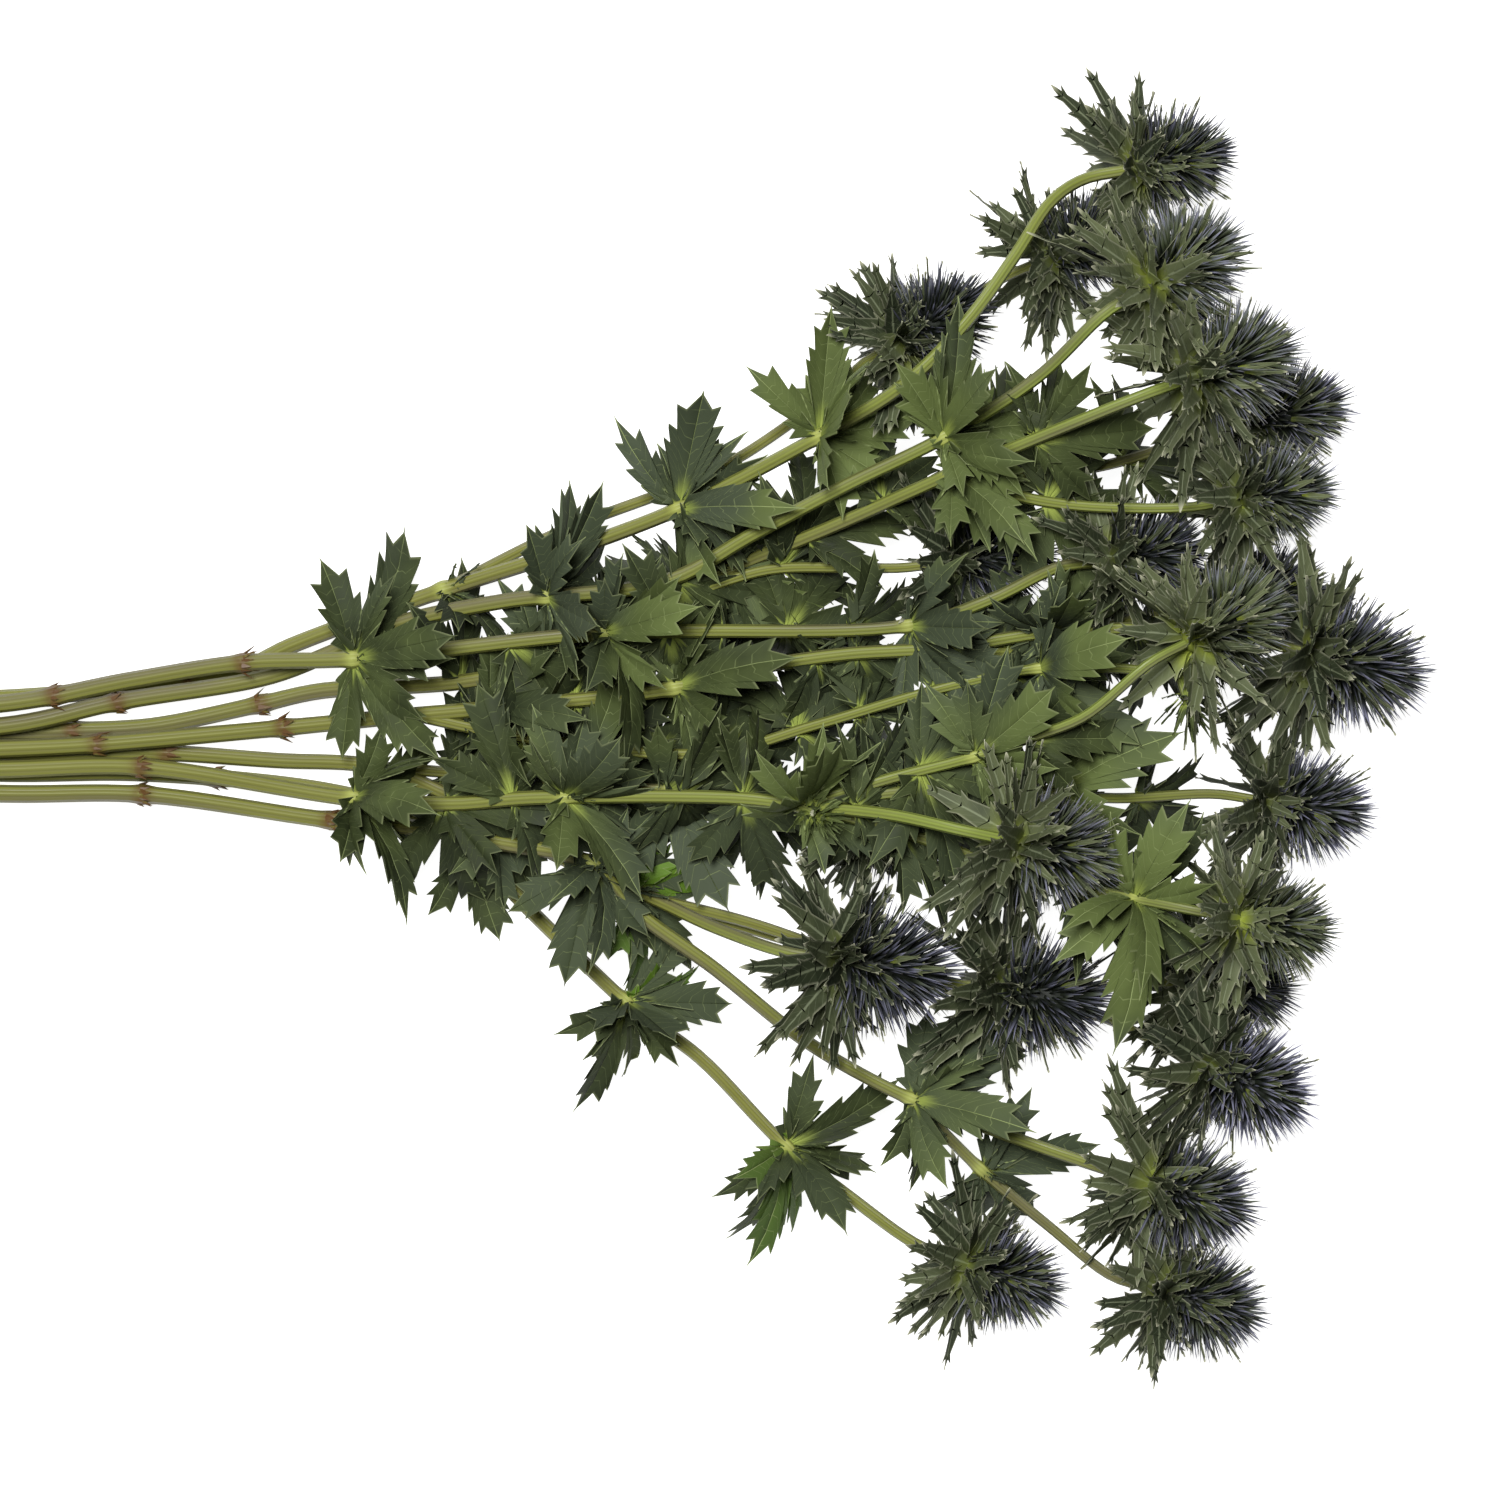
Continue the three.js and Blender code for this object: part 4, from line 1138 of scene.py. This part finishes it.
@dataclass
class FlowerHead:
    """A thistle-like head: a cone of bristles on a ruff of toothed bracts."""

    name: str
    head: Head
    solids: Solids
    bristles: int = 520
    small_bracts: int = 36
    shortest_bract: float = 9.0
    thickness: float = 0.26

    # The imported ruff's rings: height, radius, shift, spread, reach, teeth and width.
    RINGS = ((2.2, 4.2, 0, 122, 1.15, 4, 1.15), (4.2, 5.4, 0.5, 82, 0.95, 3, 0.95))
    # How a bract that fills the ruff out is turned and folded to find room.
    BENDS = ((0, 0), (15, -8), (-15, 8), (0, -20), (0, 20), (25, 0))
    # Height and radius of the collar, from foot to top.
    COLLAR = ((0, 2.4), (0.8, 3.4), (2.2, 5.0), (4.2, 5.8), (5.5, 5.4), (COLLAR_LENGTH, 4.4))

    def __post_init__(self) -> None:
        """Finds the head's axes and its own seeded numbers."""
        self.axes = Axes.facing(self.head.yaw, self.head.pitch)
        self.base = Vector(self.head.base)
        self.draws = Draws(9000 + int(self.name))

    def egg(self, share: float, turn: float, scale: float = 1.0) -> Vector:
        """Finds a place on the cone's egg-shaped core.

        Args:
            share: how far along the core, from 0 to 1.
            turn: the angle about the axis, in radians.
            scale: how much of the core's radius to go out.

        Returns:
            The place.
        """
        size = self.head.size
        profile = max(math.sin(math.pi * (CONE_START + (1 - CONE_START) * share)), 0) ** CONE_FULLNESS
        height = COLLAR_LENGTH + CONE_SEAT_GAP + share * CONE_LENGTH * size
        radial = self.axes.radial(turn) * (scale * CONE_RADIUS * size * profile)
        return self.base + self.axes.axis * height + radial

    def cone(self, material: Material) -> Piece:
        """Makes the cone: a core and several hundred bristles on it.

        Args:
            material: the cone's finish.

        Returns:
            The piece.
        """
        mould = Mould("along", "tint", "lilac")
        core = bmesh.ops.create_uvsphere(mould.mesh, u_segments=20, v_segments=12, radius=0.5)["verts"]
        for corner in core:
            turn = math.atan2(corner.co.y, corner.co.x)
            is_pole = math.hypot(corner.co.x, corner.co.y) < MERGE_DISTANCE
            corner.co = self.egg(corner.co.z + 0.5, turn, 0 if is_pole else 0.86)
            mould.set(corner, along=0.15, tint=self.head.green, lilac=0)
        shares = np.linspace(0.0, 0.985, 300)
        areas = np.cumsum(np.sin(np.pi * (CONE_START + (1 - CONE_START) * shares)) ** CONE_FULLNESS)
        for k in range(self.bristles):
            share = float(np.interp((k + 0.5) / self.bristles * areas[-1], areas, shares))
            self.add_bristle(mould, share, k * GOLDEN_TURN)
        return mould.piece(f"bristle_cone_{self.name}", self.solids, material)

    def add_bristle(self, mould: Mould, share: float, turn: float) -> None:
        """Makes one bristle, leaning more towards the axis the nearer it is to the cone's tip.

        Args:
            mould: the mesh that it is made in.
            share: how far along the core it grows, from 0 to 1.
            turn: the angle about the axis, in radians.
        """
        size, draws = self.head.size, self.draws
        turn += draws.between(-0.12, 0.12)
        lean = 80 * share**1.15 - 4 + draws.between(-12, 12)
        length = SPINE_LENGTH * size * (1.1 - 0.45 * share) * draws.between(0.55, 1.08)
        frame = self.axes.outward(self.egg(share, turn, 0.84), math.degrees(turn), 90 - lean)
        frame = frame @ Matrix.Rotation(draws.between(0, math.pi), 4, "X")
        width = draws.between(1.0, 1.8) * size
        tint = min(max(self.head.green + draws.between(-0.2, 0.55), 0), 1)
        lilac = min(max(self.head.lilac + draws.between(-0.6, 0.3), 0), 1)
        for corner, along in mould.needle(frame, width, length):
            mould.set(corner, along=along, tint=tint, lilac=lilac)
            corner.co = above_table(corner.co, 0.5)

    def matched(self) -> list[tuple[Matrix, float, float, int]]:
        """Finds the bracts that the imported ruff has, and how each was bent clear.

        Returns:
            Each bract's frame, length, half width and teeth.
        """
        draws = Draws(200 + int(self.name))
        size, node, found = self.head.size, f"bract_ruff_{self.name}", []
        turn_of_head = draws.one() * 360
        for height, radius, shift, spread, reach, teeth, width in self.RINGS:
            for k in range(BRACTS_IN_RING):
                roll = turn_of_head + (k + shift) * 360 / BRACTS_IN_RING
                roll += BRACT_ROLL_SPAN * (draws.one() - 0.5)
                lean = spread + BRACT_SPREAD_SPAN * (draws.one() - 0.5)
                length = BRACT_LENGTH * size * reach * (0.88 + 0.24 * draws.one())
                for turn, fold, share in TRIES:
                    root = self.base + self.axes.axis * height
                    root += self.axes.radial(math.radians(roll + turn)) * radius
                    frame = self.axes.outward(root, roll + turn, lean + fold)
                    full = length * share
                    if self.solids.has_corners(node, [frame @ Vector((full, 0, -BRACT_CURL * full))]):
                        found.append((frame, full, 0.92 * BRACT_HALF_WIDTH * size * width, teeth))
                        break
        return found

    def ruff(self, material: Material) -> Piece:
        """Makes the ruff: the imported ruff's bracts, the ones that fill it out, and small ones on the cone.

        Args:
            material: the ruff's finish.

        Returns:
            The piece.
        """
        size, draws = self.head.size, self.draws
        mould = Mould("along", "across", "tint")
        lightness = 0.2 + 0.5 * self.head.green
        for frame, length, half_width, teeth in self.matched():
            frame = faced_up(frame, draws.between(0.2, 0.8))
            tint = lightness + draws.between(-0.2, 0.25)
            Blade(length, half_width, teeth, curl=BRACT_CURL).add_to(mould, frame, tint, draws)
        for kind in Bract:
            for k in range(kind.value[0]):
                self.fill(mould, kind, k, lightness)
        for k in range(self.small_bracts):
            share, turn = draws.between(0.02, 0.7), k * GOLDEN_TURN
            spread = 78 - 60 * share + draws.between(-10, 10)
            frame = self.axes.outward(self.egg(share, turn, 0.9), math.degrees(turn), spread)
            blade = Blade(draws.between(9, 16) * size, draws.between(0.9, 1.7) * size, k % 3, spine=0.9)
            blade.add_to(mould, frame, lightness + draws.between(-0.1, 0.4), draws)
        mould.thicken(self.thickness)
        self.add_collar(mould, lightness)
        return mould.piece(f"toothed_ruff_{self.name}", self.solids, material)

    def fill(self, mould: Mould, kind: Bract, k: int, lightness: float) -> None:
        """Makes one of the bracts that fill the ruff out, as long as the room for it allows.

        Args:
            mould: the mesh that it is made in.
            kind: the kind of bract.
            k: its number among its kind.
            lightness: how light the ruff is, from 0 to 1.
        """
        draws, axes = self.draws, self.axes
        number, spreads, lengths, half_width, teeth = kind.value
        own = (f"flower_cone_{self.name}", f"bract_ruff_{self.name}")
        roll = (k + draws.between(-0.3, 0.3)) * 360 / number
        height = draws.between(1.2, COLLAR_LENGTH - 0.8)
        root = self.base + axes.axis * height + axes.radial(math.radians(roll)) * 4.6
        length = draws.between(*lengths) * self.head.size
        spread = draws.between(*spreads)
        best = (0.0, 0.0, 0.0)
        for turn, fold in self.BENDS:
            run = axes.outward(root, roll + turn, spread + fold).col[0].xyz
            free = self.solids.free_run(root, run, length * 1.05, own)
            best = max(best, (free, roll + turn, spread + fold))
            if free > length:
                break
        free, roll, spread = best
        length = min(length, 0.9 * free)
        if length < self.shortest_bract:
            return
        blade = Blade(length, half_width * self.head.size, teeth, curl=draws.between(-0.12, 0.05))
        frame = faced_up(axes.outward(root, roll, spread), draws.between(0.15, 0.85))
        blade.add_to(mould, frame, lightness + draws.between(-0.25, 0.3), draws)

    def add_collar(self, mould: Mould, lightness: float, sides: int = 16) -> None:
        """Makes the collar that the bracts grow from.

        Args:
            mould: the mesh that it is made in.
            lightness: how light its colour is, from 0 to 1.
            sides: how many sides it has.
        """
        made = mould.grid(len(self.COLLAR) - 1, sides)
        for corner, column, row in made:
            height, radius = self.COLLAR[column]
            radial = self.axes.radial(2 * math.pi * row / sides) * radius
            corner.co = self.base + self.axes.axis * height + radial
            mould.set(corner, along=0.02, across=0.5, tint=lightness)
        corners = [corner for corner, _, _ in made]
        bmesh.ops.remove_doubles(mould.mesh, verts=corners, dist=MERGE_DISTANCE)
        bmesh.ops.holes_fill(mould.mesh, edges=[e for e in mould.mesh.edges if e.is_boundary], sides=0)


@dataclass
class LeafyStem:
    """One plant: its trunk and branches with their joints, and the leaves and young heads on them."""

    number: int
    plant: Plant
    solids: Solids
    stem_tint: float = 0.35
    bud_tint: float = 0.6
    thickness: float = 0.3
    extra_rolls: tuple[float, ...] = (-35, 215)
    under_rolls: tuple[float, ...] = (-45, 225)
    thicket_start: float = 152.0
    thicket_step: float = 23.0
    foot_clear: float = 12.0
    tip_clear: float = 34.0
    joint_clear: float = 9.0
    young_leaves: int = 5
    # Where and how often low leaves get the painted backlight glow: below a height, beyond an edge, at a
    # share.
    backlight_height: float = 26.0
    backlight_edge: float = -28.0
    backlight_share: float = 0.25

    # The lines that the thicket lies between, seen from above: slope, and the place that each starts from.
    THICKET = ((-0.26, 90, -8), (0.4, 100, 10))
    # How a leaf that fills the thicket or a joint is turned and folded to find room.
    UNDER_BENDS = ((0, 0), (30, 0), (-30, 0), (0, -25))
    JOINT_BENDS = ((0, 0), (18, 0), (-18, 0), (0, -22), (20, -20), (-20, -20), (0, -38))

    def __post_init__(self) -> None:
        """Lays the ways of the plant's shoots, and starts the mesh and the numbers of its leaves."""
        y = BUNDLE_Y + ROW_PITCH * self.plant.place
        z = LOWER_Z if self.plant.is_lower else UPPER_Z
        cut = CUT_END_X + CUT_END_STAGGER * ((self.number - 1) * 5 % 9) / 9
        start = ((cut, y, z), (BAND_X - BAND_REACH, y, z), (BAND_X + BAND_REACH, y, z))
        self.shoots = (self.plant.trunk, *self.plant.branches)
        self.ways = [self.way_of(shoot, () if i else start) for i, shoot in enumerate(self.shoots)]
        self.own = (f"leafy_stem_{self.number}",)
        self.looks = Draws(8000 + self.number)
        self.foliage = Mould("along", "across", "tint")

    @staticmethod
    def way_of(shoot: Shoot, start: Iterable[Point]) -> Way:
        """Lays the way of a shoot, as far as its head where it has one.

        Args:
            shoot: the shoot.
            start: the points in the band that come before its own.

        Returns:
            The way.
        """
        points = [Vector(p) for p in (*start, *shoot.way)]
        if shoot.head:
            head = HEADS[shoot.head]
            axis = Axes.facing(head.yaw, head.pitch).axis
            end = Vector(head.base) - axis * GAP
            points += [end - axis * NECK_LENGTH, end]
        return Way(points)

    def stalks(self, material: Material) -> Piece:
        """Makes the trunk, the branches and the stalks of the young heads.

        Args:
            material: the stems' finish.

        Returns:
            The piece.
        """
        draws = Draws(7000 + self.number)
        mould = Mould("rib", "joint", "scar", "pith", "flank", "tint")
        for i, (shoot, way) in enumerate(zip(self.shoots, self.ways)):
            whorls, scars = (tuple(map(way.share_at_x, xs)) for xs in (shoot.whorls, shoot.scars))
            stalk = Stalk(way, BRANCH_RADII if i else TRUNK_RADII, whorls, scars)
            stalk.add_to(mould, self.stem_tint, draws)
        for root, axes in self.buds():
            stalk = Stalk(Way((root, root + axes.axis * BUD_STALK)), BUD_RADII, (), ())
            stalk.add_to(mould, self.bud_tint, draws)
        return mould.piece(f"ribbed_stem_{self.number}", self.solids, material)

    def leaves(self, material: Material) -> Piece:
        """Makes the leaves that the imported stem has, those that fill it out, and the young heads.

        Args:
            material: the leaves' finish.

        Returns:
            The piece.
        """
        draws = Draws(300 + self.number - 1)
        count = 0
        for shoot, way in zip(self.shoots, self.ways):
            for x in shoot.whorls:
                share = way.share_at_x(x)
                root, axes = way.place(share), way.axes(share)
                count += self.match_joint(root, axes, draws) + self.fill_joint(root, axes)
            count += self.fill_under(shoot, way)
        for root, axes in self.buds():
            self.add_bud(root, axes)
        self.foliage.thicken(self.thickness)
        log.info("stem %d has %d leaves", self.number, count)
        return self.foliage.piece(f"lobed_leaves_{self.number}", self.solids, material)

    def buds(self) -> list[tuple[Vector, Axes]]:
        """Finds the foot of each young head and the way that it faces."""
        return [
            (way.place(1 if bud.x is None else way.share_at_x(bud.x)), Axes.facing(bud.yaw, bud.pitch))
            for shoot, way in zip(self.shoots, self.ways)
            for bud in shoot.buds
        ]

    def add_bud(self, root: Vector, axes: Axes) -> None:
        """Makes a young head of small green bracts that close round its middle.

        Args:
            root: the foot of its stalk.
            axes: the way that it faces.
        """
        looks = self.looks
        for k in range(BUD_BRACTS):
            share, turn = k / BUD_BRACTS, k * GOLDEN_TURN
            foot = root + axes.axis * (BUD_STALK - 2 + 9 * share) + axes.radial(turn) * 3 * (1 - share)
            frame = axes.outward(foot, math.degrees(turn), 85 - 75 * share + looks.between(-8, 8))
            blade = Blade(looks.between(7, 12), looks.between(0.9, 1.6), 1, spine=0.8, curl=-0.1)
            blade.add_to(self.foliage, frame, looks.between(0.6, 0.88), looks)

    def tumbled(self, frame: Matrix) -> Matrix:
        """Turns a leaf's frame a little about its foot, so that no two leaves lie alike."""
        roll, nod, swing = (math.radians(self.looks.between(-a, a)) for a in (46, 12, 10))
        turn = Matrix.Rotation(swing, 4, "Z") @ Matrix.Rotation(nod, 4, "Y") @ Matrix.Rotation(roll, 4, "X")
        return frame @ turn

    def shade(self, root: Vector) -> float:
        """Draws a leaf's tint, with painted shade on low leaves and a painted backlight glow on some at the
        bunch's edge.
        """
        looks = self.looks
        is_at_edge = root.z < self.backlight_height and root.y < self.backlight_edge
        if is_at_edge and looks.one() < self.backlight_share:
            # Painted backlight: these leaves take the glowing yellow-green.
            return looks.between(0.93, 1.0)
        # Painted shade: the lower the leaf, the darker its tint.
        return min(max(looks.between(0.0, 0.45) + (root.z - 12) / 75, 0), 0.9)

    def with_room(self, leaf: Leaf, frames: Iterable[Matrix]) -> Matrix | None:
        """Finds the first frame in which a leaf's main lobes run clear of every other node's solid.

        Args:
            leaf: the leaf.
            frames: the frames to try.

        Returns:
            The frame, or None where there is no room.
        """
        for frame in frames:
            root = frame.translation
            runs = [frame @ Vector((*tip, 0)) - root for tip in leaf.tips()]
            frees = (self.solids.free_run(root, run.normalized(), run.length, self.own) for run in runs)
            if all(free >= run.length for free, run in zip(frees, runs)):
                return frame
        return None

    def match_joint(self, root: Vector, axes: Axes, draws: Draws) -> int:
        """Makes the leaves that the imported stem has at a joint, each as it was bent clear.

        Args:
            root: the joint's place.
            axes: the stem's axes there.
            draws: the numbers that the part drew its leaves from.

        Returns:
            How many leaves it has there.
        """
        count = 0
        size = LEAF_LEAST_SIZE + LEAF_SIZE_SPAN * draws.one()
        for base_roll in LEAF_ROLLS:
            roll = base_roll + LEAF_ROLL_SPAN * (draws.one() - 0.5)
            spread = LEAF_SPREAD + LEAF_SPREAD_SPAN * (draws.one() - 0.5)
            for turn, fold, part in TRIES:
                frame = axes.outward(root, roll + LEAF_TURN_GAIN * turn, spread + fold)
                frame = faced_up(frame, LEAF_FACING_UP)
                leaf = Leaf(size * part)
                drops = [-LEAF_CURL * (tip - Vector((LEAF_HUB, 0))).length for tip in leaf.tips()]
                tips = [frame @ Vector((*tip, drop)) for tip, drop in zip(leaf.tips(), drops)]
                if self.solids.has_corners(self.own[0], tips):
                    leaf.add_to(self.foliage, self.tumbled(frame), self.shade(root), self.looks)
                    count += 1
                    break
        return count

    def fill_joint(self, root: Vector, axes: Axes) -> int:
        """Fills a joint out with smaller leaves, and with narrow young ones in their axils.

        Args:
            root: the joint's place.
            axes: the stem's axes there.

        Returns:
            How many smaller leaves found room.
        """
        looks, count = self.looks, 0
        for roll in self.extra_rolls if root.x > self.thicket_start else ():
            leaf = Leaf(looks.between(0.55, 0.95), bends=(-0.2, 0.35))
            spread = looks.between(30, 75)
            roll += looks.between(-18, 18)
            frame = self.with_room(leaf, (
                faced_up(axes.outward(root, roll + turn, spread + fold), looks.between(0.2, 0.7))
                for turn, fold in self.JOINT_BENDS
            ))
            if frame:
                leaf.add_to(self.foliage, frame, self.shade(root), looks)
                count += 1
        for _ in range(self.young_leaves):
            frame = axes.outward(root, looks.between(-15, 195), looks.between(14, 46))
            length, half_width = looks.between(9, 19), looks.between(1.1, 2.0)
            blade = Blade(length, half_width, 3, spine=1.2, curl=looks.between(-0.1, 0.2))
            if self.solids.free_run(root, frame.col[0].xyz, length, self.own) >= length:
                blade.add_to(self.foliage, faced_up(frame, 0.4), looks.between(0.3, 0.8), looks)
        return count

    def fill_under(self, shoot: Shoot, way: Way) -> int:
        """Hangs leaves under a shoot between its joints, where the bunch is a dense thicket, darkened with
        painted shade.

        Args:
            shoot: the shoot.
            way: its way.

        Returns:
            How many leaves found room.
        """
        looks, count = self.looks, 0
        first = max(self.thicket_start, float(way.points[0][0]) + self.foot_clear)
        for x in np.arange(first, float(way.points[-1][0]) - self.tip_clear, self.thicket_step):
            share = way.share_at_x(x + looks.between(-8, 8))
            root, axes = way.place(share), way.axes(share)
            low, high = (slope * (x - start) + y for slope, start, y in self.THICKET)
            is_at_joint = any(abs(x - whorl) < self.joint_clear for whorl in shoot.whorls)
            if is_at_joint or not low < root.y < high:
                continue
            for roll in self.under_rolls:
                leaf = Leaf(looks.between(0.8, 1.2), shares_of_ray=(0, 0.5, 0.93, 1), bends=(-0.2, 0.45))
                roll += looks.between(-28, 28)
                frame = self.with_room(leaf, (
                    faced_up(axes.outward(root, roll + turn, looks.between(30, 95) + fold), 0.6)
                    for turn, fold in self.UNDER_BENDS
                ))
                if frame:
                    # Painted shade: the leaves under the shoots take 0.35 of the usual tint.
                    leaf.add_to(self.foliage, self.tumbled(frame), 0.35 * self.shade(root), looks)
                    count += 1
        return count


@dataclass
class Studio:
    """The pale floor, the soft light and the camera that looks straight down on the bunch."""

    focal_length: float = 200.0
    sensor: float = 36.0
    photo_width: float = 500.0
    middle: Point = (250.0, 0.0, 40.0)
    clip_end: float = 50.0
    floor_half: float = 3.0
    floor_drop: float = 0.0002
    lamp_place: Point = (-0.6, 0.9, 4.5)
    lamp_size: float = 1.5
    lamp_power: float = 310.0
    sky: float = 0.12

    def camera(self, solids: Solids) -> None:
        """Puts the camera over the bunch, where it takes in the photograph's width."""
        data = bpy.data.cameras.new("camera")
        data.lens = self.focal_length
        data.sensor_width = self.sensor
        data.clip_end = self.clip_end
        camera = bpy.data.objects.new("camera", data)
        distance = self.photo_width * MM * self.focal_length / self.sensor
        camera.location = solids.to_frame @ Vector(self.middle) + UPRIGHT * distance
        bpy.context.scene.collection.objects.link(camera)
        bpy.context.scene.camera = camera

    def light(self) -> None:
        """Lights the floor and the bunch softly from above and all round."""
        data = bpy.data.lights.new("soft_light", "AREA")
        data.shape = "SQUARE"
        data.size = self.lamp_size
        data.energy = self.lamp_power
        lamp = bpy.data.objects.new("soft_light", data)
        lamp.location = self.lamp_place
        lamp.rotation_euler = (-lamp.location).to_track_quat("-Z", "Y").to_euler()
        bpy.context.scene.collection.objects.link(lamp)
        world = bpy.data.worlds.new("pale_room")
        world.use_nodes = True
        background = world.node_tree.nodes["Background"]
        background.inputs[0].default_value = (1, 1, 1, 1)
        background.inputs[1].default_value = self.sky
        bpy.context.scene.world = world
        bpy.context.scene.view_settings.view_transform = "Standard"

    def floor(self) -> None:
        """Lays the floor just under the bunch."""
        mesh = bmesh.new()
        bmesh.ops.create_grid(mesh, x_segments=1, y_segments=1, size=self.floor_half)
        data = bpy.data.meshes.new("floor")
        mesh.to_mesh(data)
        mesh.free()
        data.materials.append(FloorFinish().material())
        data.transform(Matrix.Translation((0, 0, -self.floor_drop)))
        floor = bpy.data.objects.new("floor", data)
        bpy.context.scene.collection.objects.link(floor)


def settle(piece: Piece, slot: str, *nodes: str) -> None:
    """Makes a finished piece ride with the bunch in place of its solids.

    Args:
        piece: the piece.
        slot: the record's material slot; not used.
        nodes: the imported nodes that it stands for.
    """
    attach(piece, "root")
    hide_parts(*nodes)
    log.info("%s: %d faces", piece.name, len(piece.data.polygons))


def main() -> None:
    """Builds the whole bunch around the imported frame."""
    logging.basicConfig(level=logging.INFO, format="%(message)s")
    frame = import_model()
    solids = Solids(frame["nodes"])
    studio = Studio()
    studio.camera(solids)
    studio.light()
    studio.floor()
    leaf, bract, floret, stem = (
        finish().material() for finish in (LeafFinish, BractFinish, FloretFinish, StemFinish)
    )
    frame["nodes"]["elastic_band"].data.materials.clear()
    frame["nodes"]["elastic_band"].data.materials.append(RubberFinish().material())
    for number, plant in enumerate(PLANTS, 1):
        leafy_stem = LeafyStem(number, plant, solids)
        node = f"leafy_stem_{number}"
        settle(leafy_stem.stalks(stem), "stem_and_leaf", node)
        settle(leafy_stem.leaves(leaf), "stem_and_leaf", node)
    for name, head in HEADS.items():
        flower_head = FlowerHead(name, head, solids)
        settle(flower_head.cone(floret), "flower_cone", f"flower_cone_{name}")
        settle(flower_head.ruff(bract), "bract_ruff", f"bract_ruff_{name}")


if __name__ == "__main__":
    main()
